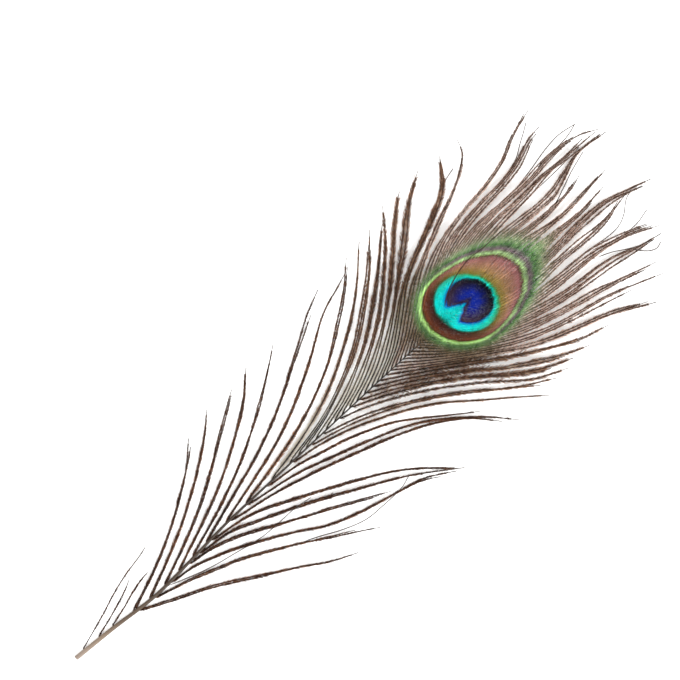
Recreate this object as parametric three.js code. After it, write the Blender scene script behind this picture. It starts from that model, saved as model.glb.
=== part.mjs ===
/**
 * A peacock train feather, cut about 30 cm below its tip and lying face up on a flat surface.
 *
 * The feather is one branching growth, so it is split at its forks: the shaft, and each lock of
 * barbs that leaves the shaft together and clings together out to its own point. The eye has no
 * body of its own, because it is only the place where the inner halves of some twenty locks lie
 * edge to edge.
 *
 * Feather frame while modelling, in mm: +X runs along the shaft from the cut end to the tip,
 * +Y points to the left vane, +Z points up out of the feather's face. The finished group is
 * shifted so that its origin is the middle of its box, at the bottom.
 */
import * as THREE from 'three';

// ---------------------------------------------------------------- driving dimensions, mm

const SHAFT_END = 226;            // the shaft runs out inside the eye
const SHAFT_BUTT_WIDTH = 1.9;
const SHAFT_TIP_WIDTH = 0.36;
const SHAFT_TAPER_POWER = 1.6;
const SHAFT_DEPTH_RATIO = 0.85;   // depth over width
const SHAFT_SIDES = 10;
const SHAFT_STEPS = 28;
// sideways wander of the shaft: [distance from the cut end, y]
const SHAFT_WANDER = [[0, -0.2], [20, -1.3], [40, -2.9], [60, -1.9], [80, -0.4], [110, 0.2],
  [150, 0.9], [190, 1.3], [226, 0.5]];

const LYING_LENGTH = 70;          // stretch of the shaft that touches the surface
const ARCH_LENGTH = 130;          // stretch over which it then lifts off
const ARCH_HEIGHT = 2.4;          // how far it has lifted under the eye

const GAP = 0.32;                 // between any two pieces
const ROOT_PITCH = 1.15;          // along the shaft, between two barbs of one lock
const BARB_HALF_WIDTH = 0.42;     // one barb with its barbules, at its root
const PACKED_PITCH = 0.42;        // between barbs that cling together near a lock's point
const WEB_THICKNESS = 0.52;
const TIP_THICKNESS = 0.36;
const BOW = 0.9;                  // how far the barbs arch up between root and point
const LOCK_STEPS = 16;
const DRAWN_IN_BY = 0.8;          // part of a loose lock's length by which its barbs cling together
const POINT_PACKING = 0.3;        // its packed width at its point, as a part of that at its root
const PARTING_STRETCH = 0.25;     // part of a joined lock's length over which it leaves its neighbours
const SPREAD = 0.6;               // how much of its room it then fills, unless its plan says
const GATHER = 0.62;              // how far out it starts to draw in to its point, unless its plan says
const GATHERED_BY = 0.98;         // and where it is drawn in
const POINT_FILL = 0.16;          // how much of that width is left at the point
const POINT_BARB_WIDTH = 0.45;    // the same for one barb's own width
const LEAST_SQUARENESS = 0.35;    // sine below which a barb runs too nearly along its neighbour's way

// How far out, as a part of its length, a lock stays joined edge to edge with its neighbours.
const LOOSE = 0.0;                // the open lower vane
const PARTING = 0.1;              // where the left vane starts to hold
const LOW_HERRINGBONE = 0.2;
const HERRINGBONE = 0.25;         // below the eye
const SHOULDER = 0.34;            // at the eye's butt side
const EYE = 0.42;

/**
 * The locks of each vane from the cut end up. root is where the lock's middle barb leaves the
 * shaft, barbs is how many barbs it holds, lift is how far its point stays above the surface,
 * and course is the way of its middle barb, as [x, distance outward], ending at the point. spread
 * and gather stand in for SPREAD and GATHER.
 */
const RIGHT_LOCKS = [
  { root: 33, barbs: 2, hold: LOOSE, lift: 0,
    course: [[45, 9], [60, 15.5], [75, 24], [90, 32.5], [100, 38.5], [112, 44.5]] },
  { root: 41, barbs: 2, hold: LOOSE, lift: 1.2,
    course: [[55, 7.5], [65, 11], [75, 14.5], [90, 22], [107, 31.5], [125.5, 42.5]] },
  { root: 50, barbs: 2, hold: LOOSE, lift: 0,
    course: [[60, 4.6], [80, 11.7], [100, 22], [110, 28], [125, 33.5], [140, 37], [150, 39.6],
      [163, 47.2]] },
  { root: 61, barbs: 2, hold: LOOSE, lift: 1.5,
    course: [[70, 4], [80, 7], [100, 16.5], [120, 26], [138, 35]] },
  { root: 66, barbs: 2, hold: LOOSE, lift: 0.4,
    course: [[80, 4], [90, 7.8], [110, 16], [130, 26], [148, 35.4], [160, 43.6], [166, 48.3]] },
  { root: 73, barbs: 2, hold: LOOSE, lift: 2.4,
    course: [[90, 4.3], [110, 12.5], [130, 22], [150, 33.4], [165, 46]] },
  { root: 84, barbs: 2, hold: LOOSE, lift: 0,
    course: [[105, 4.8], [125, 10], [140, 14.7], [150, 17.8], [160, 21.6], [170, 26.4], [180, 33.4],
      [190, 43.5]] },
  { root: 93, barbs: 2, hold: LOOSE, lift: 1,
    course: [[115, 4.5], [130, 9], [145, 13.9], [160, 19.6], [170, 25], [178, 31], [187, 39],
      [195.5, 48.5]] },
  { root: 104, barbs: 2, hold: LOOSE, lift: 3,
    course: [[118, 2.2], [127, 4.4], [137, 6.8], [147, 10.3], [157, 15], [166, 21], [174, 27],
      [186, 35]] },
  { root: 118, barbs: 2, hold: LOOSE, lift: 0,
    course: [[130, 2.1], [143, 5.6], [153, 9.6], [163, 14.2], [175, 21], [190, 32], [212, 47.5]] },
  { root: 131, barbs: 2, hold: HERRINGBONE, lift: 1, spread: 0.5,
    course: [[145, 3.9], [152, 6.4], [163, 11.2], [175, 17.8], [186, 25], [205, 39], [217, 47]] },
  { root: 143, barbs: 1, hold: HERRINGBONE, lift: 2.6, spread: 0.4,
    course: [[152, 2.7], [162, 7], [172, 12.2], [184, 19.4], [195, 27], [209, 39], [223, 47]] },
  { root: 152, barbs: 2, hold: HERRINGBONE, lift: 0, spread: 0.5,
    course: [[164, 5], [177, 12], [187, 18.4], [195, 24], [205, 32], [215, 38.5], [228, 44.5]] },
  { root: 160, barbs: 2, hold: HERRINGBONE, lift: 2.2, spread: 0.45,
    course: [[171, 5.2], [182, 12], [195, 20.8], [205, 28.6], [225, 40.2], [236, 44.5]] },
  { root: 167, barbs: 2, hold: SHOULDER, lift: 3, spread: 0.4,
    course: [[178, 6.2], [190, 13.8], [200, 20.6], [210, 27], [225, 35.4], [233, 39.2], [247, 43]] },
  { root: 173.5, barbs: 3, hold: SHOULDER, lift: 0,
    course: [[184, 7], [195, 14.4], [205, 20.8], [215, 26.8], [225, 31.8], [235, 35.4], [250, 40.6],
      [268, 49.5]] },
  { root: 180, barbs: 3, hold: EYE, lift: 1.6, spread: 0.7, gather: 0.7,
    course: [[190, 7.6], [200, 14.6], [210, 20.8], [220, 25.8], [230, 29.4], [240, 32], [255, 35.6],
      [277, 43.2]] },
  { root: 186.5, barbs: 4, hold: EYE, lift: 3.4,
    course: [[196, 8.2], [206, 15], [214, 19.2], [220, 21.8], [230, 25.2], [240, 28], [250, 30.2],
      [262, 33], [278, 38]] },
  { root: 193, barbs: 5, hold: EYE, lift: 0, spread: 0.8, gather: 0.7,
    course: [[202, 8.6], [211, 14.4], [224, 19], [235, 22], [245, 23.6], [265, 25.4], [275, 28],
      [287.5, 31]] },
  { root: 199.5, barbs: 5, hold: EYE, lift: 2.6, spread: 0.85, gather: 0.66,
    course: [[208, 7.8], [218, 12.6], [231, 15.8], [245, 17.2], [260, 18], [270, 19.8], [278, 22],
      [289, 26.5]] },
  { root: 206, barbs: 4, hold: EYE, lift: 4, spread: 0.55, gather: 0.6,
    course: [[214, 6.2], [224, 9.6], [235, 11.2], [255, 11.2], [268, 11.8], [276, 11.2], [286, 8.8]] },
  { root: 212.5, barbs: 5, hold: EYE, lift: 0, spread: 0.8, gather: 0.66,
    course: [[220, 4.2], [229, 6.4], [240, 7.4], [255, 6.8], [270, 5.8], [280, 6.2], [287, 8.1],
      [299, 12]] },
  { root: 219.5, barbs: 5, hold: EYE, lift: 2, spread: 0.7, gather: 0.5,
    course: [[227, 1.9], [235, 2.6], [245, 2.8], [255, 2.3], [265, 2.6], [282.5, 2.2]] },
];
const LEFT_LOCKS = [
  { root: 5, barbs: 1, hold: LOOSE, lift: 0.3,
    course: [[20, 5.6], [35, 11], [50, 15]] },
  { root: 13, barbs: 1, hold: LOOSE, lift: 2.4,
    course: [[25, 3.9], [37, 8.8]] },
  { root: 20, barbs: 1, hold: LOOSE, lift: 1,
    course: [[32, 3.2], [44, 7.4]] },
  { root: 31, barbs: 2, hold: LOOSE, lift: 0,
    course: [[45, 4.2], [60, 11.5], [75, 20.5], [93, 34]] },
  { root: 39, barbs: 2, hold: LOOSE, lift: 0,
    course: [[55, 5.2], [70, 12.8], [85, 22], [97, 31], [105, 39]] },
  { root: 47, barbs: 2, hold: LOOSE, lift: 1.6,
    course: [[62, 4.4], [78, 12], [92, 20.5], [105, 29.6], [118, 38.5]] },
  { root: 55, barbs: 2, hold: LOOSE, lift: 0,
    course: [[70, 4.6], [88, 12.4], [104, 21.5], [118, 31], [128, 41]] },
  { root: 63, barbs: 2, hold: LOOSE, lift: 2.6,
    course: [[80, 5], [98, 12.4], [115, 21.5], [128, 29.6], [143, 40]] },
  { root: 71, barbs: 2, hold: LOOSE, lift: 0,
    course: [[90, 6], [110, 12.6], [130, 21.5], [150, 33], [160, 39], [171, 43.5]] },
  { root: 82, barbs: 2, hold: LOOSE, lift: 1.5,
    course: [[98, 4.6], [115, 9.5], [132, 16.4], [150, 26], [166, 36], [183, 43]] },
  { root: 93, barbs: 2, hold: LOOSE, lift: 3,
    course: [[110, 4.2], [125, 8], [140, 13.4], [155, 21], [165, 27.6], [177, 36], [188, 46]] },
  { root: 107, barbs: 2, hold: LOOSE, lift: 0,
    course: [[122, 3.8], [136, 7.8], [150, 13.6], [163, 21], [175, 29], [186, 38], [196, 47.5]] },
  { root: 121, barbs: 3, hold: PARTING, lift: 2,
    course: [[136, 4.4], [150, 9.4], [163, 15.8], [175, 23.8], [188, 34.6], [202, 48.5]] },
  { root: 134, barbs: 2, hold: LOW_HERRINGBONE, lift: 0, spread: 0.5,
    course: [[148, 5.2], [160, 10.6], [171, 16.8], [181, 23.8], [191, 32], [199, 39.4], [207, 47]] },
  { root: 143, barbs: 2, hold: HERRINGBONE, lift: 2.8, spread: 0.45,
    course: [[155, 5.4], [167, 11.2], [177, 17.4], [186, 24], [196, 33], [205, 42], [213, 51.5]] },
  { root: 151, barbs: 2, hold: HERRINGBONE, lift: 0, spread: 0.4,
    course: [[162, 5.6], [173, 11.6], [182, 17.8], [191, 25], [201, 34.2], [210, 42.8], [221, 52]] },
  { root: 159, barbs: 2, hold: HERRINGBONE, lift: 2, spread: 0.4,
    course: [[169, 6], [179, 12.2], [188, 18.8], [197, 26.2], [208, 35.6], [220, 46], [232, 53]] },
  { root: 166.5, barbs: 3, hold: SHOULDER, lift: 0, spread: 0.45, gather: 0.7,
    course: [[176, 6.4], [186, 14], [195, 21.4], [205, 27], [215, 31.4], [225, 36], [235, 42],
      [243, 51.4]] },
  { root: 174, barbs: 3, hold: SHOULDER, lift: 3.4, spread: 0.3, gather: 0.5,
    course: [[183, 6.8], [192, 13.8], [202, 21.4], [213, 27], [225, 33], [236, 38], [244, 43],
      [248.4, 48], [249.4, 52]] },
  { root: 181, barbs: 3, hold: EYE, lift: 1.5, spread: 0.3, gather: 0.5,
    course: [[190, 7.4], [199, 14], [209, 20.6], [221, 26], [236, 29], [250, 30.8], [260, 33.6],
      [269, 38], [281, 42]] },
  { root: 187.5, barbs: 5, hold: EYE, lift: 0, spread: 0.8, gather: 0.66,
    course: [[196, 7.6], [205, 13.8], [215, 19.8], [227, 24], [240, 26], [250, 26.6], [260, 27.8],
      [267, 30], [273, 32.2], [280, 32.8]] },
  { root: 194, barbs: 5, hold: EYE, lift: 3.6, gather: 0.66,
    course: [[202, 7.6], [211, 13], [222, 18], [236, 20.3], [250, 20.3], [262, 20.4], [272, 21.8],
      [280, 21.9], [289, 20.2], [296, 16.6]] },
  { root: 200.5, barbs: 5, hold: EYE, lift: 1.6, spread: 0.62, gather: 0.6,
    course: [[208, 6.8], [218, 11.4], [229, 15.2], [241, 17], [254, 17.5], [264, 18.4], [276, 17.8],
      [286, 17.4], [295, 16.6]] },
  { root: 207, barbs: 5, hold: EYE, lift: 0, spread: 0.7, gather: 0.7,
    course: [[214, 5.6], [223, 9], [236, 10.8], [250, 10], [260, 9.5], [268, 10], [275, 12.6],
      [284, 16], [298.5, 15]] },
  { root: 213.5, barbs: 4, hold: EYE, lift: 2.2, spread: 0.7, gather: 0.6,
    course: [[220, 4.6], [230, 6.8], [240, 7], [250, 6.2], [262, 5.8], [270, 6.8], [278, 9]] },
  { root: 220, barbs: 4, hold: EYE, lift: 0.8, spread: 0.55, gather: 0.45,
    course: [[227, 2.7], [236, 3.5], [245, 3.4], [256, 2], [264, 1.4], [272, 1.8], [288, 2.8]] },
];

// ---------------------------------------------------------------- small helpers

const smooth = (value) => THREE.MathUtils.smoothstep(value, 0, 1);

/** Height of a smooth curve through [x, y] points, at x. */
function smoothThrough(points, x) {
  const last = points.length - 1;
  const after = THREE.MathUtils.clamp(points.findIndex(([px]) => px >= x), 1, last);
  const [x0, y0] = points[after - 1];
  const [x1, y1] = points[after];
  const span = x1 - x0;
  const slopeAt = (i) => {
    const [xa, ya] = points[Math.max(i - 1, 0)];
    const [xb, yb] = points[Math.min(i + 1, last)];
    return (yb - ya) / (xb - xa);
  };
  const t = THREE.MathUtils.clamp((x - x0) / span, 0, 1);
  const rise = (y1 - y0) * t * t * (3 - 2 * t);
  const startPull = slopeAt(after - 1) * span * t * (1 - t) ** 2;
  const endPull = slopeAt(after) * span * t * t * (1 - t);
  return y0 + rise + startPull - endPull;
}

/** A closed body through rings of equal point count, capped flat at both ends. */
function loft(rings) {
  const sides = rings[0].length;
  const positions = rings.flat().flatMap((point) => [point.x, point.y, point.z]);
  const triangles = [];
  for (let ring = 0; ring + 1 < rings.length; ring += 1) {
    for (let i = 0; i < sides; i += 1) {
      const here = ring * sides + i;
      const beside = ring * sides + (i + 1) % sides;
      triangles.push(here, beside, here + sides);
      triangles.push(beside, beside + sides, here + sides);
    }
  }
  const lastRing = (rings.length - 1) * sides;
  for (let i = 1; i + 1 < sides; i += 1) {
    triangles.push(0, i + 1, i);
    triangles.push(lastRing, lastRing + i, lastRing + i + 1);
  }
  const geometry = new THREE.BufferGeometry();
  geometry.setAttribute('position', new THREE.Float32BufferAttribute(positions, 3));
  geometry.setIndex(triangles);
  geometry.computeVertexNormals();
  return geometry;
}

// ---------------------------------------------------------------- shaft

const shaftMiddle = (x) => smoothThrough(SHAFT_WANDER, x);
const shaftUnderside = (x) => ARCH_HEIGHT * smooth((x - LYING_LENGTH) / ARCH_LENGTH);

/** Half the shaft's width at x. */
function shaftRadius(x) {
  const left = THREE.MathUtils.clamp(1 - x / SHAFT_END, 0, 1);
  const width = SHAFT_TIP_WIDTH + (SHAFT_BUTT_WIDTH - SHAFT_TIP_WIDTH) * left ** SHAFT_TAPER_POWER;
  return width / 2;
}

/** Height of the shaft's middle, where the barbs leave it. */
function shaftHeight(x) {
  const facetDrop = Math.cos(Math.PI / SHAFT_SIDES);
  return shaftUnderside(x) + shaftRadius(x) * SHAFT_DEPTH_RATIO * facetDrop;
}

/** The tapered shaft: a many-sided rod with a flat facet along its underside. */
function shaftGeometry() {
  const rings = [];
  for (let step = 0; step <= SHAFT_STEPS; step += 1) {
    const x = SHAFT_END * step / SHAFT_STEPS;
    const radius = shaftRadius(x);
    const ring = [];
    for (let i = 0; i < SHAFT_SIDES; i += 1) {
      const angle = 2 * Math.PI * (i + 0.5) / SHAFT_SIDES - Math.PI / 2;
      const y = shaftMiddle(x) + radius * Math.cos(angle);
      const z = shaftHeight(x) + radius * SHAFT_DEPTH_RATIO * Math.sin(angle);
      ring.push(new THREE.Vector3(x, y, z));
    }
    rings.push(ring);
  }
  return loft(rings);
}

// ---------------------------------------------------------------- locks of barbs

/** The middle barb of a lock as evenly spaced points, at height 0. */
function middleBarb(lock, side) {
  const rootY = shaftMiddle(lock.root) + side * (shaftRadius(lock.root) + GAP);
  const points = [new THREE.Vector3(lock.root, rootY, 0)];
  for (const [x, outward] of lock.course) {
    points.push(new THREE.Vector3(x, side * outward, 0));
  }
  const curve = new THREE.CatmullRomCurve3(points, false, 'centripetal');
  return curve.getSpacedPoints(LOCK_STEPS);
}

/** Height of a lock's middle layer, from the shaft out to its point. */
function lockHeight(lock, along) {
  const fall = smooth((along - lock.hold) / (1 - lock.hold));
  const pointHeight = lock.lift + TIP_THICKNESS / 2;
  return THREE.MathUtils.lerp(shaftHeight(lock.root), pointHeight, fall) + BOW * Math.sin(Math.PI * along);
}

/** Keeps a point clear of the shaft, as long as it is beside it. */
function clearOfShaft(point, side) {
  const past = Math.max(point.x - SHAFT_END, 0);
  const room = Math.max(shaftRadius(point.x) + GAP - past, GAP / 2);
  const outward = side * (point.y - shaftMiddle(point.x));
  if (outward < room) {
    point.y = shaftMiddle(point.x) + side * room;
  }
  return point;
}

/**
 * How far a lock's outermost barb lies from its middle one. A joined lock fills its half of the
 * room that it shares with its neighbour until it parts from it, and gathers to a point. A loose
 * one fills as much as its barbs need at their roots, and draws in to its packed width.
 */
function halfWidth(lock, along, halfRoom) {
  const { lerp } = THREE.MathUtils;
  if (lock.hold > LOOSE) {
    const { spread = SPREAD, gather = GATHER } = lock;
    const parted = lerp(1, spread, smooth((along - lock.hold) / PARTING_STRETCH));
    const gathered = smooth((along - gather) / (GATHERED_BY - gather));
    return halfRoom * parted * lerp(1, POINT_FILL, gathered);
  }
  const rooted = Math.min(1, lock.barbs * ROOT_PITCH / (2 * lock.rootRoom)) * halfRoom;
  const packed = PACKED_PITCH * lock.barbs * lerp(1, POINT_PACKING, along) / 2;
  return lerp(rooted, Math.min(rooted, packed), smooth(along / DRAWN_IN_BY));
}

/** One edge of a lock at one step, towards the neighbour on that side. */
function edgePoint(lock, barb, step, toward, side) {
  const along = step / LOCK_STEPS;
  const halfRoom = toward.length() / 2;
  const direction = toward.clone().normalize();
  const before = barb[Math.max(step - 1, 0)];
  const after = barb[Math.min(step + 1, LOCK_STEPS)];
  const course = after.clone().sub(before).normalize();
  const squareness = Math.max(direction.clone().cross(course).length(), LEAST_SQUARENESS);
  const barbWidth = BARB_HALF_WIDTH * THREE.MathUtils.lerp(1, POINT_BARB_WIDTH, along) / squareness;
  const reach = halfWidth(lock, along, halfRoom) + barbWidth;
  const edge = barb[step].clone().addScaledVector(direction, Math.min(halfRoom - GAP / 2, reach));
  return clearOfShaft(edge, side);
}

/** The thin web of one lock, between its two edges. */
function lockGeometry(lock, side, barb, below, above) {
  const rings = [];
  for (let step = 0; step <= LOCK_STEPS; step += 1) {
    const along = step / LOCK_STEPS;
    const towardAbove = above ? above[step].clone().sub(barb[step]) : barb[step].clone().sub(below[step]);
    const towardBelow = below ? below[step].clone().sub(barb[step]) : barb[step].clone().sub(above[step]);
    const upper = edgePoint(lock, barb, step, towardAbove, side);
    const lower = edgePoint(lock, barb, step, towardBelow, side);
    const thickness = THREE.MathUtils.lerp(WEB_THICKNESS, TIP_THICKNESS, along);
    const height = Math.max(lockHeight(lock, along), thickness / 2);
    const corner = (edge, lift) => new THREE.Vector3(edge.x, edge.y, height + lift * thickness / 2);
    rings.push([corner(lower, -1), corner(upper, -1), corner(upper, 1), corner(lower, 1)]);
  }
  return loft(rings);
}

// ---------------------------------------------------------------- materials

const HORN = new THREE.Color('#b59a72');
const DARK_BARB = new THREE.Color('#54483a');
const OLIVE_BARB = new THREE.Color('#5d6b3c');
const EYE_BARB = new THREE.Color('#4f8f5a');
const OLIVE_BAND = [90, 150];     // roots between which brown turns to olive
const EYE_BAND = [165, 200];      // and olive to green
const HORN_ROUGHNESS = 0.45;
const BARB_ROUGHNESS = 0.6;

/** Brown low down, olive in the herringbone and green in the eye. */
function lockColour(root) {
  const olive = THREE.MathUtils.smoothstep(root, ...OLIVE_BAND);
  const green = THREE.MathUtils.smoothstep(root, ...EYE_BAND);
  return DARK_BARB.clone().lerp(OLIVE_BARB, olive).lerp(EYE_BARB, green);
}

// ---------------------------------------------------------------- assembly

const feather = new THREE.Group();

/** Adds one named piece to the feather. */
function addPiece(name, geometry, colour, roughness) {
  const material = new THREE.MeshStandardMaterial({ color: colour, roughness, metalness: 0 });
  const mesh = new THREE.Mesh(geometry, material);
  mesh.name = name;
  feather.add(mesh);
}

addPiece('shaft', shaftGeometry(), HORN, HORN_ROUGHNESS);

const LEFT = 1;
const RIGHT = -1;
// All locks in one row round the feather: up the right vane and down the left one.
const row = [
  ...RIGHT_LOCKS.map((lock, i) => ({ ...lock, side: RIGHT, label: `right_lock_${i + 1}` })),
  ...LEFT_LOCKS.map((lock, i) => ({ ...lock, side: LEFT, label: `left_lock_${i + 1}` })).reverse(),
];
const barbs = row.map((lock) => middleBarb(lock, lock.side));

row.forEach((lock, i) => {
  const sameSide = [row[i - 1], row[i + 1]].filter((other) => other && other.side === lock.side);
  const pitches = sameSide.map((other) => Math.abs(other.root - lock.root));
  lock.rootRoom = Math.min(...pitches) / 2;
  addPiece(lock.label, lockGeometry(lock, lock.side, barbs[i], barbs[i - 1], barbs[i + 1]),
    lockColour(lock.root), BARB_ROUGHNESS);
});

// The origin is the middle of the feather's box, on the surface that it lies on.
const box = new THREE.Box3().setFromObject(feather, true);
const centre = box.getCenter(new THREE.Vector3());
feather.position.set(-centre.x, -centre.y, -box.min.z);

export default feather;
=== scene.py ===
"""A peacock train feather, lying face up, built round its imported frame.

The shaft is modelled with operators, as a rod that is drawn out ring by ring. Every lock of
barbs is grown from arrays: each barb is a thin four-sided rod (its ramus) with a row of barbules
on either side, and each barbule is a closed blade of four triangles. The eye is not a piece. It
is a set of egg-shaped contours that every barb vertex is measured against, so each barb carries
its own stretch of every ring, as on the bird.

Lengths are in mm in the feather's own frame (x from the cut end along the shaft, y to the left
vane, z up) until a mesh is written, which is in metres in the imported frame.
"""
import logging
import math
from dataclasses import dataclass, field
from enum import Enum
from typing import Sequence

import bpy
import numpy as np
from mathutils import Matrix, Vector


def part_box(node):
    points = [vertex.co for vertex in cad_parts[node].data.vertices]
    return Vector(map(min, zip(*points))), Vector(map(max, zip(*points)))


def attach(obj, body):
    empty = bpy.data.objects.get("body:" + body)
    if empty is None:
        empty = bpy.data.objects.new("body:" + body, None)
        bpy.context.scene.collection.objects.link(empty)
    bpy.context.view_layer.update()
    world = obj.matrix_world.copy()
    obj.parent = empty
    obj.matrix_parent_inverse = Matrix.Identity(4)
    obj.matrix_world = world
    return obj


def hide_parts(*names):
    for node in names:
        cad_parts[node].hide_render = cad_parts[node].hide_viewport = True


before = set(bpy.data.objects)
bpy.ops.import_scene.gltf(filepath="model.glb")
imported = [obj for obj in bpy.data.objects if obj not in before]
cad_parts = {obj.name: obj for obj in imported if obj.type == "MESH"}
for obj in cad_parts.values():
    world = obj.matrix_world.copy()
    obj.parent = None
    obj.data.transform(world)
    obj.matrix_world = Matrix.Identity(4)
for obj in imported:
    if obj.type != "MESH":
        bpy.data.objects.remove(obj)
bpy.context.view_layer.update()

BODY = "root"
MM = 0.001
SEED = 20417
BAKE_MAP = "OFBake"

logging.basicConfig(level=logging.INFO, format="%(message)s")
log = logging.getLogger("feather")

Points = Sequence[tuple[float, float]]


class Side(Enum):
    """The two vanes, and which way each lies from the shaft."""

    RIGHT = -1
    LEFT = 1


class Stretch(Enum):
    """The three stretches of a vane, by the record's slot for their finish."""

    LOWER = "barbs_lower"
    HERRINGBONE = "barbs_herringbone"
    EYE = "barbs_eye"


class Hold(float, Enum):
    """How far out, as a part of its length, a lock stays joined to its neighbours."""

    LOOSE = 0.0
    PARTING = 0.1
    LOW_HERRINGBONE = 0.2
    HERRINGBONE = 0.25
    SHOULDER = 0.34
    EYE = 0.42


@dataclass(frozen=True)
class Stray:
    """A single bare barb that has left its lock: its (x, y) way, and its height at either end."""

    way: Points
    rise: tuple[float, float] = (1.0, 0.5)


@dataclass(frozen=True)
class LockPlan:
    """One lock as it is laid out: where it leaves the shaft, and the way its middle barb takes.

    Lift is how high its point lies. Course has the places that the middle barb passes, each as x
    and the distance out towards the lock's own side. Spread is how much of its room the lock fills
    once it has parted from its neighbours, and gather is how far out, as a part of its length, it
    starts to draw in to its point.
    """

    root: float
    barbs: int
    hold: Hold
    lift: float
    course: Points
    spread: float = 0.6
    gather: float = 0.62
    strays: tuple[Stray, ...] = ()


RIGHT_LOCKS = (
    LockPlan(33, 2, Hold.LOOSE, 0, ((45, 9), (60, 15.5), (75, 24), (90, 32.5), (100, 38.5), (112, 44.5))),
    LockPlan(41, 2, Hold.LOOSE, 1.2, (
        (55, 7.5), (65, 11), (75, 14.5), (90, 22), (107, 31.5), (125.5, 42.5)), strays=(
        Stray(((98, -26), (106, -29.6), (113, -33), (123, -36.5), (132, -37), (142, -36.7),
               (148, -35)), (1.9, 0.4)),
    )),
    LockPlan(50, 2, Hold.LOOSE, 0, (
        (60, 4.6), (80, 11.7), (100, 22), (110, 28), (125, 33.5), (140, 37), (150, 39.6),
        (163, 47.2)), strays=(
        Stray(((45.5, -2.9), (50.5, -4.7), (62, -8.6), (74.5, -11.4), (88.8, -14), (105.4, -14.2),
               (112.8, -15.2)), (0.7, 2.6)),
    )),
    LockPlan(61, 2, Hold.LOOSE, 1.5, ((70, 4), (80, 7), (100, 16.5), (120, 26), (138, 35))),
    LockPlan(66, 2, Hold.LOOSE, 0.4, (
        (80, 4), (90, 7.8), (110, 16), (130, 26), (148, 35.4), (160, 43.6), (166, 48.3))),
    LockPlan(73, 2, Hold.LOOSE, 2.4, ((90, 4.3), (110, 12.5), (130, 22), (150, 33.4), (165, 46))),
    LockPlan(84, 2, Hold.LOOSE, 0, (
        (105, 4.8), (125, 10), (140, 14.7), (150, 17.8), (160, 21.6), (170, 26.4), (180, 33.4),
        (190, 43.5))),
    LockPlan(93, 2, Hold.LOOSE, 1, (
        (115, 4.5), (130, 9), (145, 13.9), (160, 19.6), (170, 25), (178, 31), (187, 39), (195.5, 48.5))),
    LockPlan(104, 2, Hold.LOOSE, 3, (
        (118, 2.2), (127, 4.4), (137, 6.8), (147, 10.3), (157, 15), (166, 21), (174, 27), (186, 35))),
    LockPlan(118, 2, Hold.LOOSE, 0, (
        (130, 2.1), (143, 5.6), (153, 9.6), (163, 14.2), (175, 21), (190, 32), (212, 47.5))),
    LockPlan(131, 2, Hold.HERRINGBONE, 1, (
        (145, 3.9), (152, 6.4), (163, 11.2), (175, 17.8), (186, 25), (205, 39), (217, 47)), 0.5),
    LockPlan(143, 1, Hold.HERRINGBONE, 2.6, (
        (152, 2.7), (162, 7), (172, 12.2), (184, 19.4), (195, 27), (209, 39), (223, 47)), 0.4),
    LockPlan(152, 2, Hold.HERRINGBONE, 0, (
        (164, 5), (177, 12), (187, 18.4), (195, 24), (205, 32), (215, 38.5), (228, 44.5)), 0.5),
    LockPlan(160, 2, Hold.HERRINGBONE, 2.2, (
        (171, 5.2), (182, 12), (195, 20.8), (205, 28.6), (225, 40.2), (236, 44.5)), 0.45),
    LockPlan(167, 2, Hold.SHOULDER, 3, (
        (178, 6.2), (190, 13.8), (200, 20.6), (210, 27), (225, 35.4), (233, 39.2), (247, 43)), 0.4),
    LockPlan(173.5, 3, Hold.SHOULDER, 0, (
        (184, 7), (195, 14.4), (205, 20.8), (215, 26.8), (225, 31.8), (235, 35.4), (250, 40.6),
        (268, 49.5)), 0.6),
    LockPlan(180, 3, Hold.EYE, 1.6, (
        (190, 7.6), (200, 14.6), (210, 20.8), (220, 25.8), (230, 29.4), (240, 32), (255, 35.6),
        (277, 43.2)), 0.7, 0.7),
    LockPlan(186.5, 4, Hold.EYE, 3.4, (
        (196, 8.2), (206, 15), (214, 19.2), (220, 21.8), (230, 25.2), (240, 28), (250, 30.2), (262, 33),
        (278, 38)), 0.6),
    LockPlan(193, 5, Hold.EYE, 0, (
        (202, 8.6), (211, 14.4), (224, 19), (235, 22), (245, 23.6), (265, 25.4), (275, 28),
        (287.5, 31)), 0.8, 0.7, strays=(
        Stray(((275, -28), (277.5, -31), (280, -33), (282.5, -33.8), (285, -33)), (0.8, 0.4)),
        Stray(((262, -20.5), (268, -23), (273, -26), (278, -28.4), (283, -29.4)), (2.4, 0.8)),
    )),
    LockPlan(199.5, 5, Hold.EYE, 2.6, (
        (208, 7.8), (218, 12.6), (231, 15.8), (245, 17.2), (260, 18), (270, 19.8), (278, 22),
        (289, 26.5)), 0.85, 0.66, strays=(
        Stray(((262, -17), (270, -19.4), (276, -20.9), (283, -21), (289.5, -19.6)), (3.3, 1.2)),
    )),
    LockPlan(206, 4, Hold.EYE, 4, (
        (214, 6.2), (224, 9.6), (235, 11.2), (255, 11.2), (268, 11.8), (276, 11.2),
        (286, 8.8)), 0.55, 0.6, strays=(
        Stray(((250, -15), (262, -16), (270, -17.1), (276, -17), (281, -15), (286, -11),
               (290, -9.6)), (3.6, 1.6)),
    )),
    LockPlan(212.5, 5, Hold.EYE, 0, (
        (220, 4.2), (229, 6.4), (240, 7.4), (255, 6.8), (270, 5.8), (280, 6.2), (287, 8.1),
        (299, 12)), 0.8, 0.66),
    LockPlan(219.5, 5, Hold.EYE, 2, (
        (227, 1.9), (235, 2.6), (245, 2.8), (255, 2.3), (265, 2.6), (282.5, 2.2)), 0.7, 0.5),
)
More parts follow.
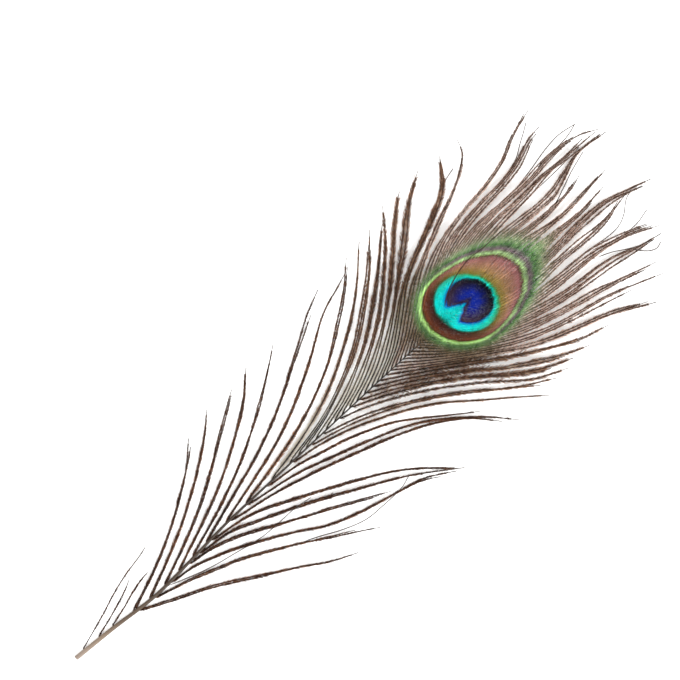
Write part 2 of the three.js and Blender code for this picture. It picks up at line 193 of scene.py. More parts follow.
LEFT_LOCKS = (
    LockPlan(5, 1, Hold.LOOSE, 0.3, ((20, 5.6), (35, 11), (50, 15))),
    LockPlan(13, 1, Hold.LOOSE, 2.4, ((25, 3.9), (37, 8.8))),
    LockPlan(20, 1, Hold.LOOSE, 1, ((32, 3.2), (44, 7.4))),
    LockPlan(31, 2, Hold.LOOSE, 0, ((45, 4.2), (60, 11.5), (75, 20.5), (93, 34))),
    LockPlan(39, 2, Hold.LOOSE, 0, ((55, 5.2), (70, 12.8), (85, 22), (97, 31), (105, 39))),
    LockPlan(47, 2, Hold.LOOSE, 1.6, ((62, 4.4), (78, 12), (92, 20.5), (105, 29.6), (118, 38.5))),
    LockPlan(55, 2, Hold.LOOSE, 0, ((70, 4.6), (88, 12.4), (104, 21.5), (118, 31), (128, 41))),
    LockPlan(63, 2, Hold.LOOSE, 2.6, ((80, 5), (98, 12.4), (115, 21.5), (128, 29.6), (143, 40))),
    LockPlan(71, 2, Hold.LOOSE, 0, (
        (90, 6), (110, 12.6), (130, 21.5), (150, 33), (160, 39), (171, 43.5))),
    LockPlan(82, 2, Hold.LOOSE, 1.5, (
        (98, 4.6), (115, 9.5), (132, 16.4), (150, 26), (166, 36), (183, 43))),
    LockPlan(93, 2, Hold.LOOSE, 3, (
        (110, 4.2), (125, 8), (140, 13.4), (155, 21), (165, 27.6), (177, 36), (188, 46))),
    LockPlan(107, 2, Hold.LOOSE, 0, (
        (122, 3.8), (136, 7.8), (150, 13.6), (163, 21), (175, 29), (186, 38), (196, 47.5))),
    LockPlan(121, 3, Hold.PARTING, 2, (
        (136, 4.4), (150, 9.4), (163, 15.8), (175, 23.8), (188, 34.6), (202, 48.5))),
    LockPlan(134, 2, Hold.LOW_HERRINGBONE, 0, (
        (148, 5.2), (160, 10.6), (171, 16.8), (181, 23.8), (191, 32), (199, 39.4), (207, 47)), 0.5),
    LockPlan(143, 2, Hold.HERRINGBONE, 2.8, (
        (155, 5.4), (167, 11.2), (177, 17.4), (186, 24), (196, 33), (205, 42), (213, 51.5)), 0.45),
    LockPlan(151, 2, Hold.HERRINGBONE, 0, (
        (162, 5.6), (173, 11.6), (182, 17.8), (191, 25), (201, 34.2), (210, 42.8), (221, 52)), 0.4),
    LockPlan(159, 2, Hold.HERRINGBONE, 2, (
        (169, 6), (179, 12.2), (188, 18.8), (197, 26.2), (208, 35.6), (220, 46), (232, 53)), 0.4),
    LockPlan(166.5, 3, Hold.SHOULDER, 0, (
        (176, 6.4), (186, 14), (195, 21.4), (205, 27), (215, 31.4), (225, 36), (235, 42),
        (243, 51.4)), 0.45, 0.7, strays=(
        Stray(((230, 39), (235, 42), (239, 43.4), (243, 44.4)), (1.2, 0.3)),
    )),
    LockPlan(174, 3, Hold.SHOULDER, 3.4, (
        (183, 6.8), (192, 13.8), (202, 21.4), (213, 27), (225, 33), (236, 38), (244, 43), (248.4, 48),
        (249.4, 52)), 0.3, 0.5),
    LockPlan(181, 3, Hold.EYE, 1.5, (
        (190, 7.4), (199, 14), (209, 20.6), (221, 26), (236, 29), (250, 30.8), (260, 33.6), (269, 38),
        (281, 42)), 0.3, 0.5),
    LockPlan(187.5, 5, Hold.EYE, 0, (
        (196, 7.6), (205, 13.8), (215, 19.8), (227, 24), (240, 26), (250, 26.6), (260, 27.8), (267, 30),
        (273, 32.2), (280, 32.8)), 0.8, 0.66, strays=(
        Stray(((258, 28.6), (264, 30.4), (269, 33.6), (273, 36), (277, 38.6)), (1.6, 0.8)),
    )),
    LockPlan(194, 5, Hold.EYE, 3.6, (
        (202, 7.6), (211, 13), (222, 18), (236, 20.3), (250, 20.3), (262, 20.4), (272, 21.8), (280, 21.9),
        (289, 20.2), (296, 16.6)), 0.6, 0.66, strays=(
        Stray(((256, 21.6), (266, 23.4), (275, 25.4), (283, 26.2), (291, 25)), (3.8, 2.0)),
        Stray(((268, 22.2), (278, 22.8), (286, 23.6), (291, 25.2)), (4.0, 2.4)),
    )),
    LockPlan(200.5, 5, Hold.EYE, 1.6, (
        (208, 6.8), (218, 11.4), (229, 15.2), (241, 17), (254, 17.5), (264, 18.4), (276, 17.8),
        (286, 17.4), (295, 16.6)), 0.62, 0.6, strays=(
        Stray(((238, 14.6), (250, 15), (262, 15.8), (274, 16.2), (286, 17)), (3.4, 1.2)),
    )),
    LockPlan(207, 5, Hold.EYE, 0, (
        (214, 5.6), (223, 9), (236, 10.8), (250, 10), (260, 9.5), (268, 10), (275, 12.6), (284, 16),
        (298.5, 15)), 0.7, 0.7, strays=(
        # A dark bare barb across the eye, laid where two locks part: a painted shadow line.
        Stray(((203.4, 5.7), (207, 8.3), (210, 9.9), (216, 12), (223, 13.3), (230, 12.9),
               (240, 13)), (3.2, 3.4)),
    )),
    LockPlan(213.5, 4, Hold.EYE, 2.2, (
        (220, 4.6), (230, 6.8), (240, 7), (250, 6.2), (262, 5.8), (270, 6.8),
        (278, 9)), 0.7, 0.6, strays=(
        Stray(((256, 6.4), (264, 6.8), (270, 9), (277, 11.8), (286, 14.6)), (3.2, 0.8)),
    )),
    LockPlan(220, 4, Hold.EYE, 0.8, (
        (227, 2.7), (236, 3.5), (245, 3.4), (256, 2), (264, 1.4), (272, 1.8), (288, 2.8)), 0.55, 0.45),
)
# The last lock of the two lower stretches, counted from the cut end.
LAST_LOWER = {Side.RIGHT: 9, Side.LEFT: 11}
LAST_HERRINGBONE = {Side.RIGHT: 15, Side.LEFT: 18}


# ------------------------------------------------------------------ curves and numbers


def smooth(value: np.ndarray | float) -> np.ndarray:
    """Rises from 0 to 1 with level ends as value goes from 0 to 1."""
    t = np.clip(value, 0.0, 1.0)
    return t * t * (3.0 - 2.0 * t)


def mix(low: np.ndarray | float, high: np.ndarray | float, share: np.ndarray | float) -> np.ndarray:
    """The value that share of the way from low to high."""
    return low + (high - low) * share


@dataclass(frozen=True)
class Rise:
    """A smooth rise from 0 to 1: where it starts, and the length that it takes."""

    start: float
    over: float

    def at(self, place: np.ndarray | float) -> np.ndarray:
        """How far it has risen at place."""
        return smooth((place - self.start) / self.over)


@dataclass(frozen=True)
class Waves:
    """A gentle random wave along a barb, of about the height given.

    It adds up count sine waves. The slowest makes about as many turns over the whole length as
    turns says, and each further one is quicker and lower.
    """

    count: int
    turns: float
    height: float
    quickening: float = 1.7
    chance: tuple[float, float] = (0.8, 1.2)
    levelling: float = 1.5

    def draw(self, rng: np.random.Generator, along: np.ndarray) -> np.ndarray:
        """Draws one such wave.

        Args:
            rng: Where its turns and phases come from.
            along: 0 to 1 along the barb.

        Returns:
            The wave at each place.
        """
        total = np.zeros_like(along)
        for i in range(self.count):
            turns = self.turns * (self.quickening**i) * rng.uniform(*self.chance)
            total += np.sin(2 * np.pi * (turns * along + rng.uniform())) / (i + 1)
        return total / self.levelling * self.height


def smooth_through(points: Points, x: np.ndarray | float) -> np.ndarray:
    """Height of a smooth curve through points.

    Args:
        points: (x, y) pairs in rising x.
        x: Where the height is wanted.

    Returns:
        The heights at x.
    """
    px, py = np.array(points, float).T
    slopes = np.empty_like(py)
    slopes[1:-1] = (py[2:] - py[:-2]) / (px[2:] - px[:-2])
    slopes[0] = (py[1] - py[0]) / (px[1] - px[0])
    slopes[-1] = (py[-1] - py[-2]) / (px[-1] - px[-2])
    after = np.clip(np.searchsorted(px, x), 1, len(px) - 1)
    span = px[after] - px[after - 1]
    t = np.clip((x - px[after - 1]) / span, 0.0, 1.0)
    rise = (py[after] - py[after - 1]) * smooth(t)
    pull = slopes[after - 1] * span * t * (1 - t) ** 2 - slopes[after] * span * t * t * (1 - t)
    return py[after - 1] + rise + pull


def through(points: np.ndarray, per_span: int = 24) -> np.ndarray:
    """A smooth centripetal curve through points.

    Args:
        points: (n, 2) places that the curve passes.
        per_span: How many places it is drawn with between two of them.

    Returns:
        The drawn curve, (m, 2).
    """
    padded = np.vstack([2 * points[0] - points[1], points, 2 * points[-1] - points[-2]])
    step = np.linalg.norm(np.diff(padded, axis=0), axis=1) ** 0.5
    t = np.linspace(0.0, 1.0, per_span, endpoint=False)[:, None]
    drawn = []
    for i in range(1, len(padded) - 2):
        a, b, c, d = padded[i - 1:i + 3]
        before, here, after = step[i - 1:i + 2]
        leave = ((b - a) / before - (c - a) / (before + here) + (c - b) / here) * here
        arrive = ((c - b) / here - (d - b) / (here + after) + (d - c) / after) * here
        bend = -3 * b + 3 * c - 2 * leave - arrive
        close = 2 * b - 2 * c + leave + arrive
        drawn.append(b + leave * t + bend * t**2 + close * t**3)
    return np.vstack([*drawn, points[-1:]])


def lengths_along(path: np.ndarray) -> np.ndarray:
    """How far along path each of its points lies."""
    return np.concatenate([[0.0], np.cumsum(np.linalg.norm(np.diff(path, axis=0), axis=1))])


def at_lengths(path: np.ndarray, wanted: np.ndarray) -> np.ndarray:
    """The points of path at the wanted lengths along it."""
    along = lengths_along(path)
    return np.stack([np.interp(wanted, along, axis) for axis in path.T], axis=1)


def evenly(path: np.ndarray, count: int) -> np.ndarray:
    """Path drawn again with count points at even spacing."""
    return at_lengths(path, np.linspace(0.0, lengths_along(path)[-1], count))


def spread_evenly(values: np.ndarray, where: np.ndarray) -> np.ndarray:
    """What values, spread evenly from 0 to 1, give at the places where."""
    return np.interp(where, np.linspace(0.0, 1.0, len(values)), values)


def unit(vectors: np.ndarray) -> np.ndarray:
    """The vectors, each at length 1."""
    return vectors / np.maximum(np.linalg.norm(vectors, axis=-1, keepdims=True), 1e-9)


def leftward(course: np.ndarray) -> np.ndarray:
    """The level directions to the left of each direction of course."""
    return unit(np.column_stack([-course[:, 1], course[:, 0], np.zeros(len(course))]))


# ------------------------------------------------------------------ the eye


@dataclass(frozen=True)
class Contour:
    """One egg-shaped line of the eye: its centre, its reaches from there, and how far it leans.

    It leans by slant, the part of a mm that a mm towards the left vane carries it to the butt.
    """

    centre: tuple[float, float]
    to_butt: float
    to_tip: float
    across: float
    slant: float = 0.17

    def reach(self, x: np.ndarray, y: np.ndarray) -> np.ndarray:
        """How far out a place lies: 0 at the centre and 1 on the line."""
        u, v = x - self.centre[0] + self.slant * (y - self.centre[1]), y - self.centre[1]
        return np.hypot(np.where(u > 0, u / self.to_tip, u / self.to_butt), v / self.across)


@dataclass(frozen=True)
class Eye:
    """The eye's rings, the notch in its blue, and the small green web past its tip.

    The notch is where the turquoise cuts into the blue from the side of the cut end. Opens is the
    zone from which the web opens, on the butt's side and on the tip's.
    """

    rings: tuple[Contour, ...] = (
        Contour((212.6, 0.7), 9.4, 9.2, 9.1, 0.05),     # the blue
        Contour((210.8, 0.9), 12.0, 12.3, 12.8, 0.12),  # the turquoise
        Contour((210.0, 0.7), 16.3, 26.0, 15.7),        # the copper
        Contour((210.0, 0.7), 17.9, 28.1, 16.8),        # the pale green line
        Contour((210.0, 0.7), 18.9, 30.8, 17.6),        # the grey crescent
        Contour((210.0, 0.7), 21.8, 38.0, 20.0),        # the green fringe
        Contour((208.0, 0.9), 50.0, 56.0, 33.0),        # where the last green is gone
    )
    notch_point: tuple[float, float] = (211.4, 1.2)
    notch_slope: float = 0.5
    notch_depth: float = 2.6
    faces_tip: Rise = Rise(199.5, 22.5)
    opens: tuple[float, float] = (5.6, 4.4)
    opening: float = 1.2
    tip_web_middle: float = -1.7
    tip_web_half_width: float = 3.2
    tip_web_closed: float = 1.1
    tip_web_green: float = 0.42
    tip_web_from: Rise = Rise(5.0, 1.0)

    def measure(self, x: np.ndarray, y: np.ndarray) -> tuple[np.ndarray, np.ndarray]:
        """Places measured against the rings.

        Args:
            x: Along the shaft.
            y: Towards the left vane.

        Returns:
            The zone, which is the number of rings that lie inside a place plus its share of the
            way to the next, and the facing, 0 on the side of the cut end and 1 on the tip's.
        """
        reaches = [ring.reach(x, y) for ring in self.rings]
        into_notch = (self.notch_point[0] - x) * self.notch_slope
        into_notch = (into_notch - np.abs(y - self.notch_point[1])) * math.cos(self.notch_slope)
        reaches[0] = np.maximum(reaches[0], 1.0 + into_notch / self.notch_depth)
        zone = np.minimum(reaches[0], 1.0)
        for inner, outer in zip(reaches[:-1], reaches[1:]):
            past, left = np.maximum(inner - 1.0, 0.0), np.maximum(1.0 - outer, 0.0)
            zone = np.where(inner > 1.0, zone + past / np.maximum(past + left, 1e-6), zone)
        facing = self.faces_tip.at(x)
        zone = zone - self.tip_web_green * self.tip_web(y, facing) * self.tip_web_from.at(zone)
        return zone, facing

    def tip_web(self, y: np.ndarray, facing: np.ndarray) -> np.ndarray:
        """How nearly a place is in line with the small green web past the eye's tip."""
        return facing * np.exp(-(((y - self.tip_web_middle) / self.tip_web_half_width) ** 2))

    def openness(self, x: np.ndarray, y: np.ndarray) -> np.ndarray:
        """How open the web is.

        Args:
            x: Along the shaft.
            y: Towards the left vane.

        Returns:
            0 in the eye and in the small web past its tip, and 1 well outside.
        """
        zone, facing = self.measure(x, y)
        opens_at = mix(*self.opens, facing) + self.tip_web_closed * self.tip_web(y, facing)
        return smooth((zone - opens_at) / self.opening)


# ------------------------------------------------------------------ meshes from arrays


VALUE_NAMES = ("zone", "facing", "tone", "reach", "bare", "along")


@dataclass
class Fibre:
    """Vertices and triangles of many small closed parts, with what the material reads of them."""

    places: list[np.ndarray] = field(default_factory=list)
    faces: list[np.ndarray] = field(default_factory=list)
    values: list[np.ndarray] = field(default_factory=list)
    maps: list[np.ndarray] = field(default_factory=list)
    count: int = 0

    def add(self, places: np.ndarray, faces: np.ndarray, values: np.ndarray, maps: np.ndarray) -> None:
        """Adds parts.

        Args:
            places: (n, 3) vertices, mm in the feather's frame.
            faces: (m, 3) triangles over them.
            values: (n, 6) values in the order of VALUE_NAMES.
            maps: (n, 2) places on the bake's map.
        """
        self.places.append(places)
        self.faces.append(faces + self.count)
        self.values.append(values)
        self.maps.append(maps)
        self.count += len(places)


@dataclass(frozen=True)
class Placing:
    """Takes the feather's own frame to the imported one."""

    shift: tuple[float, float]

    def metres(self, places: np.ndarray) -> np.ndarray:
        """Places in mm in the feather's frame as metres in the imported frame."""
        return (places + np.array([*self.shift, 0.0])) * MM

    def write(self, name: str, fibre: Fibre) -> bpy.types.Object:
        """Makes one object of fibre, with its attributes and its bake map.

        Args:
            name: The piece's name.
            fibre: What it is made of.

        Returns:
            The object, linked and at the origin.
        """
        places = self.metres(np.vstack(fibre.places)).astype(np.float32)
        faces = np.vstack(fibre.faces).astype(np.int32)
        mesh = bpy.data.meshes.new(name)
        mesh.vertices.add(len(places))
        mesh.vertices.foreach_set("co", places.ravel())
        mesh.loops.add(faces.size)
        mesh.loops.foreach_set("vertex_index", faces.ravel())
        mesh.polygons.add(len(faces))
        mesh.polygons.foreach_set("loop_start", np.arange(0, faces.size, 3, dtype=np.int32))
        values = np.vstack(fibre.values).astype(np.float32)
        for column, label in enumerate(VALUE_NAMES):
            attribute = mesh.attributes.new(label, "FLOAT", "POINT")
            attribute.data.foreach_set("value", np.ascontiguousarray(values[:, column]))
        layer = mesh.uv_layers.new(name=BAKE_MAP)
        layer.uv.foreach_set("vector", np.vstack(fibre.maps).astype(np.float32)[faces.ravel()].ravel())
        mesh.update(calc_edges=True)
        piece = bpy.data.objects.new(name, mesh)
        bpy.context.scene.collection.objects.link(piece)
        return piece


# ------------------------------------------------------------------ the shaft's line


@dataclass(frozen=True)
class ShaftForm:
    """The shaft's line, width and height, which the barbs are rooted on."""

    end: float = 226.0
    butt_width: float = 1.9
    tip_width: float = 0.36
    taper_power: float = 1.6
    depth_ratio: float = 0.85
    sides: int = 10
    steps: int = 28
    arch: Rise = Rise(70.0, 130.0)
    arch_height: float = 2.4
    wander: Points = ((0, -0.2), (20, -1.3), (40, -2.9), (60, -1.9), (80, -0.4), (110, 0.2),
                      (150, 0.9), (190, 1.3), (226, 0.5))

    def middle(self, x: np.ndarray | float) -> np.ndarray:
        """Sideways place of the shaft's middle at x."""
        return smooth_through(self.wander, x)

    def radius(self, x: np.ndarray | float) -> np.ndarray:
        """Half its width at x."""
        left = np.clip(1.0 - np.asarray(x, float) / self.end, 0.0, 1.0)
        return mix(self.tip_width, self.butt_width, left**self.taper_power) / 2

    def height(self, x: np.ndarray | float) -> np.ndarray:
        """Height of its middle at x."""
        underside = self.arch_height * self.arch.at(np.asarray(x, float))
        return underside + self.radius(x) * self.depth_ratio * math.cos(math.pi / self.sides)

    def placing(self) -> Placing:
        """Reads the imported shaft's box against this line.

        Returns:
            The shift from the feather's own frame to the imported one.
        """
        low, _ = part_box("shaft")
        stations = np.linspace(0.0, self.end, self.steps + 1)
        lowest = float(np.min(self.middle(stations) - self.radius(stations)))
        return Placing((low[0] / MM, low[1] / MM - lowest))


# ------------------------------------------------------------------ barbs


# A barb's row on the bake's map: its ramus in the middle, and its barbules from either side of it.
# The corners are those of the ramus across the row, and of a barbule along it, in its widths.
RAMUS_STRIP = 0.06
RAMUS_CORNERS = (1.0, 0.4, -1.0, -0.4)
BARBULE_STRIP = (0.08, 0.4)
BARBULE_CORNERS = (-0.5, 0.5, 0.5, -0.3)


@dataclass(frozen=True)
class BarbForm:
    """Sizes of one barb and its barbules, mm and radians.

    A reach is how far barbules stand out from the barb. The lists of reaches, and the rises named
    for a root, go by where the lock leaves the shaft, and every other rise by the place along the
    barb, 0 to 1.
    """

    # The ramus, near the shaft and at the point, and its root inside the shaft.
    stations: int = 34
    ramus_width: tuple[float, float] = (0.42, 0.3)
    ramus_depth: tuple[float, float] = (0.3, 0.2)
    eye_slimming: float = 0.45
    web_ramus: float = 1.5
    least_height: float = 0.12
    root_inset: float = 1.0
    root_lean: float = 0.05

    # Barbules where they lock into a surface, and where they hang open.
    closed_pitch: float = 0.2
    closed_length: float = 1.15
    closed_angle: float = math.radians(48)
    closed_cover: float = 1.25
    closed_taper: float = 0.75
    open_pitch: float = 0.21
    open_angle: float = math.radians(32)
    open_cover: float = 1.7
    open_taper: float = 0.6

    # Where a barb has none, and the shape of one blade.
    pitch_samples: int = 400
    course_step: float = 0.5
    bare_root: float = 0.3
    bare_point: float = 0.035
    blade_depth: float = 0.045
    blade_thinning: float = 0.6
    least_blade_height: float = 0.03

    # How far open barbules reach, which is less at the root and at the point.
    open_reach: Points = ((5, 0.34), (32, 0.56), (115, 0.56), (135, 0.68), (150, 0.98), (160, 0.98),
                          (172, 0.78), (182, 0.6), (220, 0.56))
    root_reach: float = 0.7
    fills_out: Rise = Rise(0.0, 0.35)
    point_reach: Points = ((100, 0.6), (135, 0.7), (160, 0.72), (182, 0.66), (220, 0.66))
    thins_out: Rise = Rise(0.5, 0.5)
    thinning: float = 1.5

    # The thin pale web that the left vane's middle barbs hold between them near the shaft.
    pale_from_root: Rise = Rise(80.0, 30.0)
    pale_to_root: Rise = Rise(166.0, 12.0)
    pale_begins: Rise = Rise(0.0, 0.08)
    pale_ends: Rise = Rise(0.25, 0.35)
    pale_darkens: Rise = Rise(0.2, 0.4)
    pale_flatness: float = 0.7

    # How nearly the barbules of two barbs meet inside a lock, by a chance from lowest to highest.
    web_reach: float = 0.92
    web_meets: float = 0.9
    most_web: float = 1.3
    web_chance: tuple[float, float] = (0.65, 1.35)
    web_closes_by_root: Rise = Rise(156.0, 24.0)
    web_closes: Rise = Rise(0.3, 0.3)
    web_parts: Rise = Rise(0.42, 0.2)
    web_parted: float = 0.6
    edge_barbs: float = 1.5

    # Chance in the barbules' lengths, angles and twists. The even twist has a mean and a spread.
    length_chance: tuple[float, float] = (0.8, 1.2)
    angle_chance: float = 0.08
    twist: Waves = Waves(3, 3.0, 0.45)
    twist_chance: float = 0.22
    even_twist: tuple[float, float] = (0.07, 0.05)

    # Chance in their shades and lengths along a barb, mm a knot, and in the eye's rings.
    tone_knots: float = 0.9
    barb_shade: float = 0.38
    blade_shade: float = 0.35
    clump_knots: float = 2.4
    clump_chance: tuple[float, float] = (0.72, 1.28)
    ring_slide: float = 0.16
    ring_slide_across: float = 0.4

    # Strays, which have no barbules. The one across the eye stays dark over the rings,
    # as a painted shadow line where two locks part.
    stray_width: tuple[float, float] = (0.448, 0.32)
    stray_fills_out: Rise = Rise(0.0, 0.08)
    stray_root: float = 0.25
    stray_waves: Waves = Waves(2, 1.0, 0.15)
    stray_points: int = 80
    stray_shades: int = 40
    stray_colour_from: float = 0.5

    def pale_web(self, root: float, side: Side) -> float:
        """How much of a thin pale web the left vane's middle barbs still hold between them.

        Args:
            root: Where the lock leaves the shaft.
            side: Its vane.

        Returns:
            0 for none and 1 for all of it.
        """
        if side is Side.RIGHT:
            return 0.0
        return float(self.pale_from_root.at(root) * (1 - self.pale_to_root.at(root)))

    def strand_reach(self, root: float, side: Side, where: np.ndarray,
                     widest: np.ndarray | float) -> np.ndarray:
        """How far the barbules of an open barb stand out from it.

        Args:
            root: Where its lock leaves the shaft.
            side: Its vane.
            where: 0 to 1 along the barb.
            widest: How far they stand out in the left vane's pale web, mm.

        Returns:
            The reach at each place, mm.
        """
        filled = mix(self.root_reach, 1.0, self.fills_out.at(where))
        reach = float(smooth_through(self.open_reach, root)) * filled
        pale = self.pale_web(root, side) * (1 - self.pale_ends.at(where)) * self.pale_begins.at(where)
        reach = mix(reach, widest, pale)
        point = float(smooth_through(self.point_reach, root))
        return reach * mix(1.0, point, self.thins_out.at(where) ** self.thinning)


@dataclass(frozen=True)
class LockForm:
    """How the barbs of a lock lie, mm. What is along a barb is in parts of its length."""

    # How they leave the shaft, draw in to the lock, part from its neighbours and gather in a point.
    root_pitch: float = 1.15
    packed_pitch: float = 0.42
    point_packing: float = 0.3
    drawn_in_by: float = 0.8
    parts_early: float = 0.07
    parts_over: float = 0.25
    parts_wider: float = 0.86
    gathered_by: float = 0.98
    point_fill: float = 0.16

    # How high and how long they are.
    bow: float = 0.9
    point_height: float = 0.18
    kept_length: tuple[float, float] = (0.86, 0.99)
    path_points: int = 120

    # How far chance moves them: in parts of a barb's room, then in mm.
    out_of_place: float = 0.8
    sway: Waves = Waves(3, 1.1, 0.5)
    astray: float = 0.6
    astray_from: float = 0.5
    astray_growth: float = 5.0
    unevenness: Waves = Waves(2, 1.3, 0.3)
    lean_chance: tuple[float, float] = (-0.25, 0.35)

    # How they lie by the shaft, and on its back where it runs under the eye.
    under_eye: Rise = Rise(176.0, 12.0)
    above_back: float = 0.1
    beside_back: float = 0.15
    clearance: float = 0.05
    least_clearance: float = 0.02
    eye_clearance: float = 0.03
    tuck: float = 0.5
    tuck_fading: float = 30.0


@dataclass(frozen=True)
class Barb:
    """One barb to be grown: its way, its place across the lock and its own chance numbers.

    Shift is how far the eye's rings have slid along it. Shades and clumps, for the colour and the
    length of its barbules, are at even spacing along it. Band is its row on the bake's map.
    """

    path: np.ndarray
    band: int
    shades: np.ndarray
    place: float = 0.0
    shift: float = 0.0
    clumps: np.ndarray | None = None

    @property
    def length(self) -> float:
        """Its length, mm."""
        return float(lengths_along(self.path)[-1])


@dataclass
class Lock:
    """One lock of barbs, which stands for the CAD node named node.

    Room is half the way to the nearer neighbour's root, mm. Middle is the way of its middle barb,
    seen from above, and below and above are those of the locks on either side in the row.
    """

    node: str
    number: int
    plan: LockPlan
    side: Side
    room: float
    middle: np.ndarray
    below: np.ndarray | None
    above: np.ndarray | None
    shaft: ShaftForm
    eye: Eye
    form: BarbForm
    rng: np.random.Generator
    lay: LockForm = LockForm()

    @property
    def stretch(self) -> Stretch:
        """The stretch of its vane that it is in."""
        upper = Stretch.HERRINGBONE if self.number <= LAST_HERRINGBONE[self.side] else Stretch.EYE
        return Stretch.LOWER if self.number <= LAST_LOWER[self.side] else upper

    @property
    def bands(self) -> int:
        """How many rows the bake's map has."""
        return self.plan.barbs + len(self.plan.strays)

    def along(self) -> np.ndarray:
        """0 to 1 along the middle barb, at each of its points."""
        return np.linspace(0.0, 1.0, len(self.middle))

    def drawn_in(self, along: np.ndarray) -> np.ndarray:
        """How far the barbs have left their neighbours and drawn in to the lock."""
        return smooth((along - self.plan.hold) / (self.lay.drawn_in_by - self.plan.hold))

    def pale_web(self) -> float:
        """How much of the left vane's pale web it holds."""
        return self.form.pale_web(self.plan.root, self.side)

    def over_shaft(self) -> float:
        """How far the barbs are rooted on the shaft's back, where it runs under the eye."""
        return float(self.lay.under_eye.at(self.plan.root))

    def towards(self, share: float) -> np.ndarray:
        """From the middle barb to the next lock's, on the side that share's sign gives."""
        near, far = (self.above, self.below) if share > 0 else (self.below, self.above)
        return near - self.middle if near is not None else self.middle - far

    def half_width(self, place: float) -> np.ndarray:
        """How wide the lock is on one side, from its middle barb to its edge.

        Args:
            place: A number whose sign gives the side.

        Returns:
            The width at each point of the middle barb, mm.
        """
        lay, plan, along = self.lay, self.plan, self.along()
        half_room = np.linalg.norm(self.towards(place), axis=1) / 2
        if plan.hold > 0:
            parting = smooth((along - plan.hold + lay.parts_early) / lay.parts_over)
            parted = mix(1.0, plan.spread * lay.parts_wider, parting)
            gathered = smooth((along - plan.gather) / (lay.gathered_by - plan.gather))
            return half_room * parted * mix(1.0, lay.point_fill, gathered)
        spread = half_room * min(1.0, plan.barbs * lay.root_pitch / (2 * self.room))
        packed = lay.packed_pitch * plan.barbs * mix(1.0, lay.point_packing, along) / 2
        return mix(spread, np.minimum(spread, packed), self.drawn_in(along))

    def half_gap(self, place: float) -> np.ndarray:
        """Half the way from one of its barbs to the next, square to them.

        Args:
            place: A number whose sign gives the side of the middle barb.

        Returns:
            Half the gap at each point of the middle barb, mm.
        """
        toward = unit(self.towards(place))
        course = unit(np.gradient(self.middle, axis=0))
        squareness = np.abs(toward[:, 0] * course[:, 1] - toward[:, 1] * course[:, 0])
        return self.half_width(place) * squareness / self.plan.barbs

    def web(self, place: float, hand: int, where: np.ndarray) -> np.ndarray:
        """How far a barb's barbules stand out from it where the web hangs open.

        Args:
            place: -1 to 1, where the barb is across the lock.
            hand: 1 for the left of the barb's way and -1 for its right.
            where: 0 to 1 along the barb.

        Returns:
            The reach at each place, mm: half the way to the next barb inside the lock, and less
            along the lock's edge.
        """
        form, plan = self.form, self.plan
        between = np.interp(where, self.along(), self.half_gap(place))
        widest = form.web_reach
        if plan.hold > 0:
            widest = np.minimum(widest, between * form.web_meets)
        strand = form.strand_reach(plan.root, self.side, where, widest)
        closed = self.rng.uniform(*form.web_chance)
        closed = closed * mix(form.web_closes_by_root.at(plan.root), 1.0, form.web_closes.at(where))
        closed = closed * mix(1.0, form.web_parted, form.web_parts.at(where))
        edge = hand * place > 1.0 - form.edge_barbs / plan.barbs
        if plan.hold == 0 or edge:
            return strand
        return np.maximum(strand, np.minimum(between * closed, form.most_web))

    def openness(self, path: np.ndarray, where: np.ndarray, length: float) -> np.ndarray:
        """How open the web is along a barb: 0 where barbules lock into a surface, 1 where they hang."""
        places = at_lengths(path, where * length)
        return np.maximum(self.drawn_in(where), self.eye.openness(places[:, 0], places[:, 1]))

    def height(self, along: np.ndarray, root: float) -> np.ndarray:
        """Height of a barb's middle line before chance.

        Args:
            along: 0 to 1 along the barb.
            root: Where the barb leaves the shaft.

        Returns:
            The height at each place, mm.
        """
        fall = smooth((along - self.plan.hold) / (1.0 - self.plan.hold))
        ends = mix(self.shaft.height(root), self.plan.lift + self.lay.point_height, fall)
        return ends + self.lay.bow * np.sin(np.pi * along)

    def clear_of_shaft(self, flat: np.ndarray) -> np.ndarray:
        """Moves places that would be in the shaft out to its side, or near its middle in the eye.

        Args:
            flat: (n, 2) a barb's way, seen from above.

        Returns:
            The same way, clear of the shaft.
        """
        lay, middle = self.lay, self.shaft.middle(flat[:, 0])
        past = np.maximum(flat[:, 0] - self.shaft.end, 0.0)
        beside = self.shaft.radius(flat[:, 0]) + lay.clearance - past
        room = mix(np.maximum(beside, lay.least_clearance), lay.eye_clearance, self.over_shaft())
        tucked = np.exp(-np.linspace(0, lay.tuck_fading, len(flat)))
        outward = self.side.value * (flat[:, 1] - middle) - self.over_shaft() * lay.tuck * tucked
        return np.column_stack([flat[:, 0], middle + self.side.value * np.maximum(outward, room)])

    def seen_from_above(self, place: float) -> np.ndarray:
        """Lays one barb out, seen from above.

        Args:
            place: -1 to 1, where the barb is across the lock.

        Returns:
            (n, 2) points from beside the shaft to the barb's point.
        """
        lay, along = self.lay, self.along()
        drawn = self.drawn_in(along)
        free = drawn * along
        share = place + self.rng.uniform(-lay.out_of_place, lay.out_of_place) / self.plan.barbs * drawn
        outward = unit(self.towards(place)) * self.half_width(place)[:, None]
        flat = self.middle + outward * np.abs(share)[:, None]

        across = unit(np.gradient(self.middle, axis=0))[:, ::-1] * np.array([-1.0, 1.0])
        sway = lay.sway.draw(self.rng, along) * free
        bend = np.clip(along - lay.astray_from, 0.0, 1.0) ** 2
        astray = self.rng.normal(0.0, lay.astray) * bend * lay.astray_growth * free
        return self.clear_of_shaft(flat + across * (sway + astray)[:, None])

